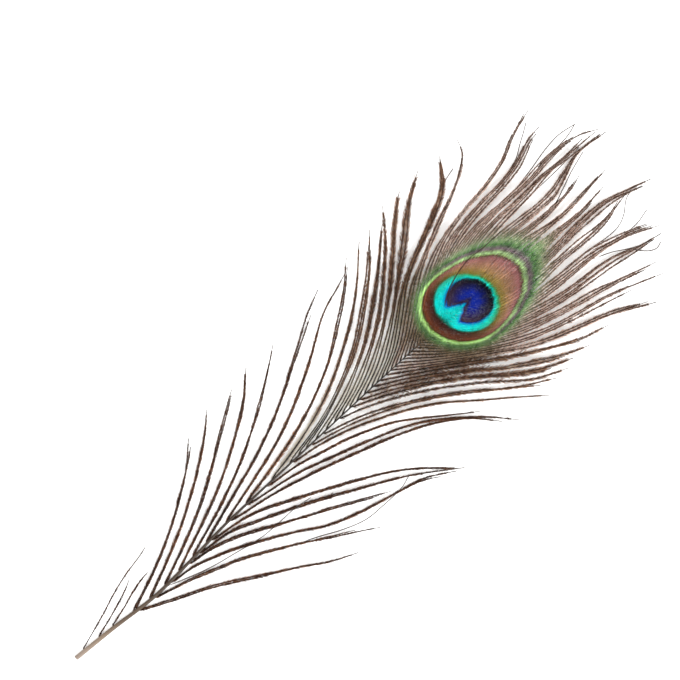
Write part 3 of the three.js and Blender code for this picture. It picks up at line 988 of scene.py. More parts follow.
    def raised(self, flat: np.ndarray) -> np.ndarray:
        """Gives a barb its height, over the shaft's back where it crosses it in the eye.

        Args:
            flat: (n, 2) its way, seen from above.

        Returns:
            (n, 3) its way.
        """
        lay, along, x = self.lay, self.along(), flat[:, 0]
        drawn = self.drawn_in(along)
        lift = self.height(along, float(x[0])) + lay.unevenness.draw(self.rng, along) * (drawn * along)
        lift = lift + self.rng.uniform(*lay.lean_chance) * drawn
        lift = np.maximum(lift, self.form.least_height)
        beside = np.abs(flat[:, 1] - self.shaft.middle(x))
        back = self.shaft.height(x) + self.shaft.radius(x) * self.shaft.depth_ratio + lay.above_back
        over = (beside < self.shaft.radius(x) + lay.beside_back) & (self.over_shaft() > 0.5)
        return np.column_stack([flat, np.where(over, np.maximum(lift, back), lift)])

    def barb_path(self, place: float, is_middle: bool) -> np.ndarray:
        """The way of one barb. The middle one keeps its length, and the others fall short by chance.

        Args:
            place: -1 to 1, where the barb is across the lock.
            is_middle: Whether it is the lock's middle barb.

        Returns:
            (n, 3) points from inside the shaft to the barb's point.
        """
        path = self.raised(self.seen_from_above(place))
        inside = path[0].copy()
        inside[0] -= self.form.root_inset
        inside[1] = mix(float(self.shaft.middle(inside[0])), path[0, 1], self.form.root_lean)
        path = np.vstack([inside, path])
        kept = 1.0 if is_middle else self.rng.uniform(*self.lay.kept_length)
        wanted = np.linspace(0.0, lengths_along(path)[-1] * kept, self.lay.path_points)
        return at_lengths(path, wanted)

    def values(self, barb: Barb, places: np.ndarray, **others: np.ndarray) -> np.ndarray:
        """What the material reads at each place.

        Args:
            barb: The barb that the places are on.
            places: (n, 3) vertices.
            **others: The rest of VALUE_NAMES after the zone and the facing. Tone is the chance
                shade, 0 to 1; reach is 0 at the ramus and 1 at a barbule's end; bare is 1 on the
                ramus and 0 on a barbule; along is 0 at the barb's root and 1 at its point.

        Returns:
            (n, 6) values in the order of VALUE_NAMES.
        """
        slid = places[:, 1] + barb.shift * self.side.value * self.form.ring_slide_across
        zone, facing = self.eye.measure(places[:, 0] + barb.shift, slid)
        return np.column_stack([zone, facing, *(others[name] for name in VALUE_NAMES[2:])])

    def grow(self, fibre: Fibre, place: float, band: int) -> None:
        """Adds one barb to fibre.

        Args:
            fibre: Where it goes.
            place: Its place across the lock, -1 to 1.
            band: Its row on the bake's map.
        """
        form = self.form
        path = self.barb_path(place, is_middle=band == self.plan.barbs // 2)
        length = float(lengths_along(path)[-1])
        shift = self.rng.normal(0.0, form.ring_slide)
        shades = self.rng.uniform(0.0, 1.0, int(length / form.tone_knots) + 2)
        shades = mix(shades, self.rng.uniform(0.0, 1.0), form.barb_shade)
        clumps = self.rng.uniform(*form.clump_chance, int(length / form.clump_knots) + 2)
        barb = Barb(path, band, shades, place, shift, clumps)
        slim = mix(1.0, form.eye_slimming, self.over_shaft())
        broad = mix(slim, form.web_ramus, self.pale_web())
        thickness = (form.ramus_width[0] * broad, form.ramus_width[1])
        depth = (form.ramus_depth[0] * slim, form.ramus_depth[1])
        self.add_ramus(fibre, barb, thickness, depth)
        for hand in (-1, 1):
            self.add_barbules(fibre, barb, hand)

    def add_ramus(self, fibre: Fibre, barb: Barb, thickness: tuple[float, float],
                  depth: tuple[float, float], is_stray: bool = False) -> None:
        """Adds a barb's tapering four-sided rod, closed at both ends.

        Args:
            fibre: Where it goes.
            barb: The barb.
            thickness: Its width at root and point.
            depth: Its depth there.
            is_stray: Whether it is drawn out thin at its root too, and left out of the eye's
            rings that it lies over, so that it stays dark there; across the eye this is a
            painted shadow line where two locks part.
        """
        form = self.form
        stations = evenly(barb.path, form.stations)
        along = np.linspace(0.0, 1.0, len(stations))[:, None]
        course = unit(np.gradient(stations, axis=0))
        across = leftward(course)
        upward = unit(np.cross(course, across))
        drawn_out = mix(form.stray_root, 1.0, form.stray_fills_out.at(along)) if is_stray else 1.0
        wide = across * mix(*thickness, along) * drawn_out / 2
        deep = upward * mix(*depth, along) * drawn_out / 2
        rings = np.stack([stations + wide, stations + deep, stations - wide, stations - deep], axis=1)
        places = rings.reshape(-1, 3)
        here = np.arange(len(stations) - 1)[:, None] * 4 + np.arange(4)
        beside = np.arange(len(stations) - 1)[:, None] * 4 + (np.arange(4) + 1) % 4
        sides = [np.stack([here, beside, here + 4], -1), np.stack([beside, beside + 4, here + 4], -1)]
        last = len(places) - 4
        caps = np.array([[0, 2, 1], [0, 3, 2], [last, last + 1, last + 2], [last, last + 2, last + 3]])
        faces = np.vstack([np.concatenate(sides).reshape(-1, 3), caps])

        u = np.repeat(along[:, 0], 4)
        v = (barb.band + 0.5 + RAMUS_STRIP * np.tile(RAMUS_CORNERS, len(stations))) / self.bands
        values = self.values(barb, places, tone=spread_evenly(barb.shades, u), reach=np.zeros(len(u)),
                             bare=np.ones(len(u)), along=u)
        # Strays take no ring colour, so the one across the eye stays dark: a painted shadow line.
        if is_stray:
            values[:, VALUE_NAMES.index("zone")] = len(self.eye.rings)
            values[:, VALUE_NAMES.index("along")] = mix(form.stray_colour_from, 1.0, u)
        fibre.add(places, faces, values, np.column_stack([u, v]))

    def barbule_roots(self, barb: Barb) -> np.ndarray:
        """Where barbules leave a barb, at their pitch, each moved a little by chance.

        Args:
            barb: The barb.

        Returns:
            Their places, 0 to 1 along it.
        """
        form, length = self.form, barb.length
        sampled = np.linspace(0.0, 1.0, form.pitch_samples)
        pitches = mix(form.closed_pitch, form.open_pitch, self.openness(barb.path, sampled, length))
        steps = np.cumsum(length / form.pitch_samples / pitches)
        counted = np.arange(int(steps[-1]))
        where = np.interp(counted + self.rng.uniform(0.0, 1.0, len(counted)), steps, sampled)
        return where[(where > form.bare_root / length) & (where < 1.0 - form.bare_point)]

    def blades(self, barb: Barb, hand: int, where: np.ndarray) -> tuple[np.ndarray, np.ndarray]:
        """Shapes one side's barbules.

        Args:
            barb: The barb.
            hand: 1 for the left of the barb's way and -1 for its right.
            where: Where they leave it, 0 to 1.

        Returns:
            Their corners, four to a barbule, (4n, 3), and their widths at the barb, (n,).
        """
        form, length, count = self.form, barb.length, len(where)
        base = at_lengths(barb.path, where * length)
        course = unit(at_lengths(barb.path, where * length + form.course_step) - base)
        across = leftward(course) * hand
        upward = np.cross(course, across) * hand

        loose = self.openness(barb.path, where, length)
        pitch = mix(form.closed_pitch, form.open_pitch, loose)
        reach = self.web(barb.place, hand, where) * spread_evenly(barb.clumps, where)
        size = mix(form.closed_length, reach / math.sin(form.open_angle), loose)
        size = size * self.rng.uniform(*form.length_chance, count)
        angle = mix(form.closed_angle, form.open_angle, loose)
        angle = angle + self.rng.normal(0.0, form.angle_chance, count)
        flatness = 1.0 - form.pale_flatness * self.pale_web()
        twist = form.twist.draw(self.rng, where) + self.rng.normal(0.0, form.twist_chance, count)
        twist = twist * loose * flatness + self.rng.normal(*form.even_twist, count)
        out = across * np.cos(twist)[:, None] + upward * np.sin(twist)[:, None]
        face = upward * np.cos(twist)[:, None] - across * np.sin(twist)[:, None]
        blade = course * np.cos(angle)[:, None] + out * np.sin(angle)[:, None]

        width = (pitch * mix(form.closed_cover, form.open_cover, loose))[:, None]
        taper = mix(form.closed_taper, form.open_taper, loose)[:, None]
        deep = face * form.blade_depth / 2
        thin = deep * form.blade_thinning
        start, stop = base - course * width / 2, base + course * width / 2
        far_stop = stop + blade * size[:, None]
        far_start = far_stop - course * width * taper
        corners = [start + deep, stop - deep, far_stop + thin, far_start - thin]
        places = np.stack(corners, axis=1).reshape(-1, 3)
        places[:, 2] = np.maximum(places[:, 2], form.least_blade_height)
        return places, width[:, 0]

    def add_barbules(self, fibre: Fibre, barb: Barb, hand: int) -> None:
        """Adds one side's barbules, each a closed blade of four triangles.

        Args:
            fibre: Where they go.
            barb: The barb.
            hand: 1 for the left of the barb's way and -1 for its right.
        """
        form = self.form
        where = self.barbule_roots(barb)
        count = len(where)
        places, width = self.blades(barb, hand, where)
        pattern = np.array([[0, 1, 2], [0, 2, 3], [0, 3, 1], [1, 3, 2]])[:, ::hand]
        faces = (np.arange(count)[:, None, None] * 4 + pattern[None]).reshape(-1, 3)

        tone = spread_evenly(barb.shades, where)
        tone = mix(tone, self.rng.uniform(0.0, 1.0, count), form.blade_shade)
        tone = mix(tone, 1.0, self.pale_web() * (1 - form.pale_darkens.at(where)))
        reach = np.tile([0.0, 0.0, 1.0, 1.0], count)
        values = self.values(barb, places, tone=np.repeat(tone, 4), reach=reach,
                             bare=np.zeros(count * 4), along=np.repeat(where, 4))
        skew = np.tile(BARBULE_CORNERS, count) * np.repeat(width / barb.length, 4)
        u = np.repeat(where, 4) + skew
        near, deep = BARBULE_STRIP
        v = (barb.band + 0.5 + hand * (near + deep * reach)) / self.bands
        fibre.add(places, faces, values, np.column_stack([np.clip(u, 0, 1), v]))

    def add_stray(self, fibre: Fibre, stray: Stray, band: int) -> None:
        """Adds a single bare barb that has left its lock.

        Args:
            fibre: Where it goes.
            stray: Its way.
            band: Its row on the bake's map.
        """
        form = self.form
        flat = evenly(through(np.array(stray.way, float)), form.stray_points)
        along = np.linspace(0.0, 1.0, len(flat))
        height = mix(*stray.rise, along) + form.stray_waves.draw(self.rng, along)
        path = np.column_stack([flat, np.maximum(height, form.least_height)])
        barb = Barb(path, band, self.rng.uniform(0.0, 1.0, form.stray_shades))
        self.add_ramus(fibre, barb, form.stray_width, form.ramus_depth, is_stray=True)

    def build(self, placing: Placing) -> bpy.types.Object:
        """Grows every barb of the lock and joins them in one piece.

        Args:
            placing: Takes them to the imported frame.

        Returns:
            The piece, not yet dressed.
        """
        fibre = Fibre()
        for band in range(self.plan.barbs):
            self.grow(fibre, (2 * band + 1) / self.plan.barbs - 1, band)
        for number, stray in enumerate(self.plan.strays):
            self.add_stray(fibre, stray, self.plan.barbs + number)
        return placing.write(self.node.replace("lock", "barbs"), fibre)


# ------------------------------------------------------------------ finishes


Stops = tuple[tuple[float, str], ...]
Outputs = dict[str, bpy.types.NodeSocket]


def linear(colour: str) -> tuple[float, float, float, float]:
    """An sRGB hex colour as the linear RGBA that shaders take."""
    channels = [int(colour[i:i + 2], 16) / 255 for i in (1, 3, 5)]
    return (*[c / 12.92 if c <= 0.04045 else ((c + 0.055) / 1.055) ** 2.4 for c in channels], 1.0)


def new_node(tree: bpy.types.NodeTree, kind: str, settings: dict | None = None,
             links: dict | None = None) -> bpy.types.Node:
    """Adds one node.

    Args:
        tree: The node tree it goes in.
        kind: Blender's name for the node's type.
        settings: Values by name: an input socket's name or number, a property, or "stops" for a
            colour ramp's places and hex colours in rising order.
        links: The output socket that feeds each input, by the input's name or number.

    Returns:
        The node.
    """
    node = tree.nodes.new(kind)
    for name, value in (settings or {}).items():
        if name == "stops":
            elements = node.color_ramp.elements
            elements.remove(elements[1])
            elements[0].position, elements[0].color = value[0][0], linear(value[0][1])
            for place, colour in value[1:]:
                elements.new(place).color = linear(colour)
        elif isinstance(name, int) or name in node.inputs:
            node.inputs[name].default_value = value
        else:
            setattr(node, name, value)
    for name, output in (links or {}).items():
        tree.links.new(output, node.inputs[name])
    return node


def new_material(name: str) -> bpy.types.Material:
    """Makes a material with an empty node tree.

    Args:
        name: The material's name.

    Returns:
        The material.
    """
    made = bpy.data.materials.new(name)
    made.use_nodes = True
    made.node_tree.nodes.clear()
    return made


MIXED = {"data_type": "RGBA"}
MULTIPLIED = {"data_type": "RGBA", "blend_type": "MULTIPLY", 0: 1.0}
FALLING = {"To Min": 1.0, "To Max": 0.0}
RING_COUNT = 7.0

# The eye's colours by zone, looked at on the side of the cut end and on that of the tip.
BUTT_RINGS: Stops = (
    (0.0, "#1238c8"), (0.35, "#1634b4"), (0.6, "#3a3480"), (0.9, "#60465e"), (0.99, "#40304c"),
    (1.02, "#0a56d8"), (1.12, "#0890f0"), (1.35, "#00ecff"), (1.6, "#00fff8"), (1.88, "#00f4e8"),
    (1.98, "#187860"), (2.1, "#42241c"), (2.5, "#66382a"), (2.85, "#84482c"), (2.97, "#4e361c"),
    (3.2, "#b4de7c"), (3.6, "#c4f29c"), (4.0, "#90b86c"), (4.5, "#668c58"), (5.2, "#5a7846"),
    (6.1, "#52523a"), (7.0, "#5c5038"),
)
TIP_RINGS: Stops = (
    (0.0, "#143cd0"), (0.4, "#1230b0"), (0.62, "#0a1a66"), (0.82, "#03061c"), (0.99, "#010103"),
    (1.06, "#0a6c5c"), (1.3, "#0cf0e0"), (1.75, "#44cc84"), (1.98, "#70964c"), (2.06, "#a08e44"),
    (2.28, "#ac924e"), (2.5, "#c09668"), (2.75, "#c28e78"), (2.92, "#bc7c7c"), (2.98, "#6c463c"),
    (3.15, "#a0bc78"), (3.6, "#c4e6a4"), (4.0, "#98aa7e"), (4.4, "#8c767e"), (4.9, "#76766a"),
    (5.2, "#5c9450"), (5.6, "#a2d08c"), (6.2, "#b4c89c"), (7.0, "#a09080"),
)


@dataclass(frozen=True)
class BarbKeratin:
    """Melanin-rich keratin of barbs: brown in itself, with a thin-film shine of copper and gold.

    The film lies on flat twisted barbules, so neighbouring ones catch the light by turns. In the
    eye that speckle of dark and bright along every barb is painted glints and shade, from each
    barbule's chance tone. Shades go by the chance tone of a barbule, rami by the place along the
    barb. How bright a barbule is at the ramus and at its end is painted shade: darker by the ramus.
    Point is where a barb starts to change towards its point, and how bright it is there.
    """

    name: str
    shades: Stops
    rami: Stops
    # How bright a barbule is at the ramus and at its end: painted shade along the ramus.
    ramus_shade: tuple[float, float]
    point: tuple[float, float] = (0.75, 0.55)
    stain: str = "#aaa493"
    stained_zones: tuple[float, float] = (6.2, 7.1)
    last_rings: tuple[float, float] = (5.5, 7.0)
    # Where the rings' painted glints and shade deepen, by zone, and how deep they are there.
    glint_zones: tuple[float, float] = (2.9, 3.8)
    glint_depths: tuple[float, float] = (1.1, 2.2)
    roughness: float = 0.42
    metallic: float = 0.25
    specular: float = 0.2

    def strand(self, tree: bpy.types.NodeTree, read: Outputs) -> bpy.types.NodeSocket:
        """Colour of the rami and barbules outside the eye, stained a little where they near it.

        Args:
            tree: The node tree.
            read: The mesh's attributes by name.

        Returns:
            The colour's output.
        """
        barbule = new_node(tree, "ShaderNodeValToRGB", {"stops": self.shades}, {0: read["tone"]})
        # Painted shade: each barbule darker by the ramus and brighter towards its end.
        low, high = self.ramus_shade
        ramus_shade = new_node(tree, "ShaderNodeMapRange",
                        {"interpolation_type": "SMOOTHSTEP", "To Min": low, "To Max": high},
                        {"Value": read["reach"]})
        shaded_by_ramus = new_node(tree, "ShaderNodeMix", MULTIPLIED, {6: barbule.outputs[0], 7: ramus_shade.outputs[0]})
        start, shade = self.point
        point = new_node(tree, "ShaderNodeMapRange", {"From Min": start, "To Min": 1.0, "To Max": shade},
                         {"Value": read["along"]})
        darkened = new_node(tree, "ShaderNodeMix", MULTIPLIED, {6: shaded_by_ramus.outputs[2], 7: point.outputs[0]})
        ramus = new_node(tree, "ShaderNodeValToRGB", {"stops": self.rami}, {0: read["along"]})
        strand = new_node(tree, "ShaderNodeMix", MIXED,
                          {0: read["bare"], 6: darkened.outputs[2], 7: ramus.outputs[0]})
        low, high = self.stained_zones
        near = new_node(tree, "ShaderNodeMapRange", FALLING | {"From Min": low, "From Max": high},
                        {"Value": read["zone"]})
        behind = new_node(tree, "ShaderNodeMapRange", FALLING, {"Value": read["facing"]})
        share = new_node(tree, "ShaderNodeMath", {"operation": "MULTIPLY"},
                         {0: near.outputs[0], 1: behind.outputs[0]})
        stained = new_node(tree, "ShaderNodeMix", MULTIPLIED | {7: linear(self.stain)},
                           {0: share.outputs[0], 6: strand.outputs[2]})
        return stained.outputs[2]

    def rings(self, tree: bpy.types.NodeTree, read: Outputs) -> bpy.types.NodeSocket:
        """Colour of the eye's rings, made dark and bright by each barbule's chance tone: painted glints
        and shade.

        Args:
            tree: The node tree.
            read: The mesh's attributes by name.

        Returns:
            The colour's output.
        """
        zone = new_node(tree, "ShaderNodeMath", {"operation": "DIVIDE", 1: RING_COUNT}, {0: read["zone"]})
        sides = []
        for rings in (BUTT_RINGS, TIP_RINGS):
            stops = [(place / RING_COUNT, colour) for place, colour in rings]
            sides.append(new_node(tree, "ShaderNodeValToRGB", {"stops": stops}, {0: zone.outputs[0]}))
        both = new_node(tree, "ShaderNodeMix", MIXED,
                        {0: read["facing"], 6: sides[0].outputs[0], 7: sides[1].outputs[0]})
        # Painted glints and shade: each barbule's chance tone brightens or darkens the ring colour, more
        # deeply from the copper outwards.
        centred = new_node(tree, "ShaderNodeMath", {"operation": "SUBTRACT", 1: 0.5}, {0: read["tone"]})
        (start, end), (low, high) = self.glint_zones, self.glint_depths
        depth = new_node(tree, "ShaderNodeMapRange",
                         {"From Min": start, "From Max": end, "To Min": low, "To Max": high},
                         {"Value": read["zone"]})
        glint_flecks = new_node(tree, "ShaderNodeMath", {"operation": "MULTIPLY_ADD", 2: 1.0},
                          {0: centred.outputs[0], 1: depth.outputs[0]})
        glint_flecked = new_node(tree, "ShaderNodeMix", MULTIPLIED, {6: both.outputs[2], 7: glint_flecks.outputs[0]})
        return glint_flecked.outputs[2]

    def material(self) -> bpy.types.Material:
        """Makes the material: the rings, and the strands beyond their ragged edge.

        Returns:
            The material.
        """
        made = new_material(self.name)
        tree = made.node_tree
        read = {
            label: new_node(tree, "ShaderNodeAttribute", {"attribute_name": label}).outputs["Fac"]
            for label in VALUE_NAMES
        }
        ragged = new_node(tree, "ShaderNodeMath", {"operation": "ADD"}, {0: read["tone"], 1: read["zone"]})
        low, high = self.last_rings
        outside = new_node(tree, "ShaderNodeMapRange",
                           {"interpolation_type": "SMOOTHSTEP", "From Min": low, "From Max": high},
                           {"Value": ragged.outputs[0]})
        colour = new_node(tree, "ShaderNodeMix", MIXED,
                          {0: outside.outputs[0], 6: self.rings(tree, read), 7: self.strand(tree, read)})
        shader = new_node(tree, "ShaderNodeBsdfPrincipled",
                          {"Roughness": self.roughness, "Metallic": self.metallic,
                           "Specular IOR Level": self.specular},
                          {"Base Color": colour.outputs[2]})
        new_node(tree, "ShaderNodeOutputMaterial", links={0: shader.outputs[0]})
        return made


# Keratin of the lower barbs: dark, with red-brown barbules, and now and then a painted orange glint.
BRONZE_BARBS = BarbKeratin(
    "bronze_barb_keratin",
    ((0.0, "#2a1408"), (0.3, "#5a3320"), (0.55, "#8a5a3e"), (0.8, "#be8a68"), (0.92, "#dc8840"),
     (1.0, "#d8bc9c")),
    ((0.0, "#140e0a"), (0.15, "#22150e"), (0.5, "#2e1e16"), (1.0, "#3a2a20")),
    (0.62, 1.05),
)
# Keratin of the herringbone barbs: near-black rami between pale barbules, which reads as stripes.
OLIVE_BARBS = BarbKeratin(
    "olive_barb_keratin",
    ((0.0, "#26180e"), (0.3, "#5c402e"), (0.55, "#906a52"), (0.8, "#c29c82"), (0.9, "#d4c6b2"),
     (1.0, "#faf0e2")),
    ((0.0, "#140f0a"), (0.15, "#1e150c"), (0.5, "#3a2a20"), (1.0, "#4e3a2e")),
    (0.6, 1.25),
    (0.3, 1.35),
)
# Keratin of the eye's barbs past its rings: loose barbules, thin enough to look pale and rosy.
EYE_BARBS = BarbKeratin(
    "eye_barb_keratin",
    ((0.0, "#3e291c"), (0.25, "#846452"), (0.5, "#c4a494"), (0.75, "#ead4c8"), (1.0, "#fbf0ea")),
    ((0.0, "#140e08"), (0.2, "#2a1b12"), (0.5, "#3a271c"), (1.0, "#3c2c22")),
    (0.42, 1.7),
)
BARB_FINISHES = {
    Stretch.LOWER: BRONZE_BARBS,
    Stretch.HERRINGBONE: OLIVE_BARBS,
    Stretch.EYE: EYE_BARBS,
}


@dataclass(frozen=True)
class Horn:
    """Horn of the shaft: smooth drawn-out keratin, with fine dark streaks along it and a low gloss.

    It is tan at the cut end and stained dark towards the eye. The stain's places are in mm from
    the cut end, and the grain's scales are waves to a metre, along it and across.
    """

    name: str = "shaft_horn"
    roughness: float = 0.38
    specular: float = 0.3
    length: float = 226.0
    stain: Stops = (
        (0, "#9b8b7f"), (14, "#867462"), (24, "#5e4e40"), (45, "#3e3226"), (90, "#2c2018"),
        (140, "#140f0b"), (226, "#120e0a"),
    )
    grain: tuple[float, float, float] = (300.0, 3000.0, 3000.0)
    streak: str = "#3a2a1c"
    streak_share: float = 0.45

    def material(self, placing: Placing) -> bpy.types.Material:
        """Makes the material.

        Args:
            placing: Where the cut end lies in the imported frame.

        Returns:
            The material.
        """
        made = new_material(self.name)
        tree = made.node_tree
        place = new_node(tree, "ShaderNodeTexCoord").outputs["Object"]
        along = new_node(tree, "ShaderNodeSeparateXYZ", links={0: place})
        share = new_node(tree, "ShaderNodeMath",
                         {"operation": "MULTIPLY_ADD", 1: 1 / (MM * self.length),
                          2: -placing.shift[0] / self.length},
                         {0: along.outputs[0]})
        stops = [(x / self.length, colour) for x, colour in self.stain]
        body = new_node(tree, "ShaderNodeValToRGB", {"stops": stops}, {0: share.outputs[0]})
        drawn_out = new_node(tree, "ShaderNodeMapping", {"Scale": self.grain}, {"Vector": place})
        grain = new_node(tree, "ShaderNodeTexNoise", {"Scale": 1.0, "Detail": 4.0},
                         {"Vector": drawn_out.outputs[0]})
        dark = new_node(tree, "ShaderNodeMix", MIXED | {0: self.streak_share, 7: linear(self.streak)},
                        {6: body.outputs[0]})
        colour = new_node(tree, "ShaderNodeMix", MIXED,
                          {0: grain.outputs["Fac"], 6: body.outputs[0], 7: dark.outputs[2]})
        shader = new_node(tree, "ShaderNodeBsdfPrincipled",
                          {"Roughness": self.roughness, "Specular IOR Level": self.specular},
                          {"Base Color": colour.outputs[2]})
        new_node(tree, "ShaderNodeOutputMaterial", links={0: shader.outputs[0]})
        return made


@dataclass(frozen=True)
class Pith:
    """Dry pith in the cut end of the shaft: a pale, matt, fine-celled foam."""

    name: str = "shaft_pith"
    cell: str = "#d9cfbd"
    cell_wall: str = "#a89a84"
    cells_per_metre: float = 6000.0
    roughness: float = 0.95

    def material(self) -> bpy.types.Material:
        """Makes the material.

        Returns:
            The material.
        """
        made = new_material(self.name)
        tree = made.node_tree
        place = new_node(tree, "ShaderNodeTexCoord").outputs["Object"]
        cells = new_node(tree, "ShaderNodeTexVoronoi", {"Scale": self.cells_per_metre}, {"Vector": place})
        colour = new_node(tree, "ShaderNodeMix", MIXED | {6: linear(self.cell), 7: linear(self.cell_wall)},
                          {0: cells.outputs["Distance"]})
        shader = new_node(tree, "ShaderNodeBsdfPrincipled", {"Roughness": self.roughness},
                          {"Base Color": colour.outputs[2]})
        new_node(tree, "ShaderNodeOutputMaterial", links={0: shader.outputs[0]})
        return made


@dataclass(frozen=True)
class Paper:
    """Smooth uncoated white paper of the backdrop, lit a little through its back as on a light table.

    It gives an even white with no gloss, and only faint shadows between the barbs.
    """

    name: str = "pale_paper"
    colour: str = "#fcfcfb"
    light: str = "#ffffff"
    glow: float = 0.15
    roughness: float = 0.9

    def material(self) -> bpy.types.Material:
        """Makes the material.

        Returns:
            The material.
        """
        made = new_material(self.name)
        shader = new_node(made.node_tree, "ShaderNodeBsdfPrincipled",
                          {"Base Color": linear(self.colour), "Roughness": self.roughness,
                           "Emission Color": linear(self.light), "Emission Strength": self.glow})
        new_node(made.node_tree, "ShaderNodeOutputMaterial", links={0: shader.outputs[0]})
        return made


# ------------------------------------------------------------------ the shaft as a piece


@dataclass
class Shaft:
    """The shaft: a horn rod with a groove along its underside and pith in its cut end, mm."""

    form: ShaftForm
    placing: Placing
    sides: int = 20
    stations: int = 57
    groove: float = 0.3
    underside: float = 0.97
    wall: float = 0.16
    cup: float = 0.12
    sunk: float = 0.35
    sinks: Rise = Rise(176.0, 14.0)
    smoothed_under: float = math.radians(50)

    def centre(self, x: float) -> tuple[float, float, float]:
        """Its middle at x, which sinks a little below the barbs' roots in the eye.

        Args:
            x: From the cut end, mm.

        Returns:
            The place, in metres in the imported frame.
        """
        height = float(self.form.height(x) - self.sunk * self.sinks.at(x))
        place = np.array([[x, float(self.form.middle(x)), height]])
        return tuple(float(value) for value in self.placing.metres(place)[0])

    def build(self) -> bpy.types.Object:
        """Models the rod by drawing its cut end out, ring by ring.

        Returns:
            The rod, with its own place in its mesh.
        """
        bpy.ops.object.select_all(action="DESELECT")
        radius = float(self.form.radius(0.0)) * MM
        here = self.centre(0.0)
        bpy.ops.mesh.primitive_circle_add(vertices=self.sides, radius=radius, fill_type="NGON",
                                          location=here, rotation=(0.0, math.pi / 2, 0.0))
        rod = bpy.context.object
        rod.name = "feather_shaft"
        bpy.ops.object.transform_apply(location=True, rotation=True, scale=True)
        bpy.ops.object.mode_set(mode="EDIT")
        bpy.ops.mesh.select_all(action="SELECT")
        bpy.ops.transform.resize(value=(1.0, 1.0, self.form.depth_ratio), center_override=here)
        self.cut_groove(rod, here[2], radius)
        last = float(self.form.radius(0.0))
        for x in np.linspace(0.0, self.form.end, self.stations)[1:]:
            there = self.centre(float(x))
            step = tuple(b - a for a, b in zip(here, there))
            bpy.ops.mesh.extrude_region_move(TRANSFORM_OT_translate={"value": step})
            now = float(self.form.radius(x))
            ratio = now / last
            bpy.ops.transform.resize(value=(1.0, ratio, ratio), center_override=there)
            here, last = there, now
        bpy.ops.mesh.select_all(action="SELECT")
        bpy.ops.mesh.normals_make_consistent(inside=False)
        bpy.ops.object.mode_set(mode="OBJECT")
        self.hollow(rod)
        bpy.ops.object.shade_smooth_by_angle(angle=self.smoothed_under)
        return rod

    def cut_groove(self, rod: bpy.types.Object, middle: float, radius: float) -> None:
        """Pushes the underside of the first ring in, which every later ring then carries on.

        Args:
            rod: The rod, in edit mode.
            middle: The height of the ring's middle, m.
            radius: Its half width, m.
        """
        bpy.ops.mesh.select_all(action="DESELECT")
        bpy.ops.object.mode_set(mode="OBJECT")
        for vertex in rod.data.vertices:
            low = (middle - vertex.co.z) / (radius * self.form.depth_ratio)
            vertex.select = low > self.underside
        bpy.ops.object.mode_set(mode="EDIT")
        bpy.ops.transform.translate(value=(0.0, 0.0, radius * self.groove))
        bpy.ops.mesh.select_all(action="SELECT")

    def hollow(self, rod: bpy.types.Object) -> None:
        """Insets the cut end and sinks it a little, and gives the horn and the pith their finishes.

        Args:
            rod: The rod, in object mode.
        """
        bpy.ops.object.mode_set(mode="EDIT")
        bpy.ops.mesh.select_mode(type="FACE")
        bpy.ops.mesh.select_all(action="DESELECT")
        bpy.ops.object.mode_set(mode="OBJECT")
        left = min(face.center.x for face in rod.data.polygons)
        for face in rod.data.polygons:
            face.select = face.center.x < left + 1e-6
        bpy.ops.object.mode_set(mode="EDIT")
        bpy.ops.mesh.inset(thickness=self.wall * MM)
        bpy.ops.mesh.extrude_region_move(TRANSFORM_OT_translate={"value": (self.cup * MM, 0.0, 0.0)})
        bpy.ops.object.mode_set(mode="OBJECT")
        rod.data.materials.append(Horn().material(self.placing))
        rod.data.materials.append(Pith().material())
        for face in rod.data.polygons:
            face.material_index = 1 if face.select else 0


# ------------------------------------------------------------------ the whole feather


@dataclass
class Vanes:
    """Both vanes: every lock in one row, up the right side and down the left."""

    shaft: ShaftForm
    eye: Eye = Eye()
    form: BarbForm = BarbForm()
    points: int = 65
    root_gap: float = 0.32

    def middle_barb(self, plan: LockPlan, side: Side) -> np.ndarray:
        """Draws the middle barb of a lock.

        Args:
            plan: The lock.
            side: Its vane.

        Returns:
            (n, 2) its way, seen from above.
        """
        beside = float(self.shaft.radius(plan.root)) + self.root_gap
        root_y = float(self.shaft.middle(plan.root)) + side.value * beside
        course = [(plan.root, root_y), *((x, side.value * outward) for x, outward in plan.course)]
        return evenly(through(np.array(course, float)), self.points)

    def locks(self) -> list[Lock]:
        """Lays out every lock, each with its neighbours' middle barbs.

        Returns:
            The locks in a row, up the right vane and down the left.
        """
        row = [(plan, Side.RIGHT, i + 1) for i, plan in enumerate(RIGHT_LOCKS)]
        row += [(plan, Side.LEFT, i + 1) for i, plan in enumerate(LEFT_LOCKS)][::-1]
        middles = [self.middle_barb(plan, side) for plan, side, _ in row]
        made = []
        for i, (plan, side, number) in enumerate(row):
            beside = [row[j] for j in (i - 1, i + 1) if 0 <= j < len(row) and row[j][1] is side]
            room = min(abs(other.root - plan.root) for other, _, _ in beside) / 2
            below = middles[i - 1] if i > 0 else None
            above = middles[i + 1] if i + 1 < len(row) else None
            node = f"{side.name.lower()}_lock_{number}"
            rng = np.random.default_rng([SEED, i])
            made.append(Lock(node, number, plan, side, room, middles[i], below, above, self.shaft,
                             self.eye, self.form, rng))
        return made

    def build(self, placing: Placing) -> list[bpy.types.Object]:
        """Builds and dresses every lock.

        Args:
            placing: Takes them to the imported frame.

        Returns:
            The pieces.
        """
        materials = {stretch: keratin.material() for stretch, keratin in BARB_FINISHES.items()}
        pieces = []
        for lock in self.locks():
            piece = lock.build(placing)
            piece.data.materials.append(materials[lock.stretch])
            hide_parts(lock.node)
            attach(piece, BODY)
            log.info("%s: %d barbs, %d triangles", piece.name, lock.plan.barbs, len(piece.data.polygons))
            pieces.append(piece)
        return pieces


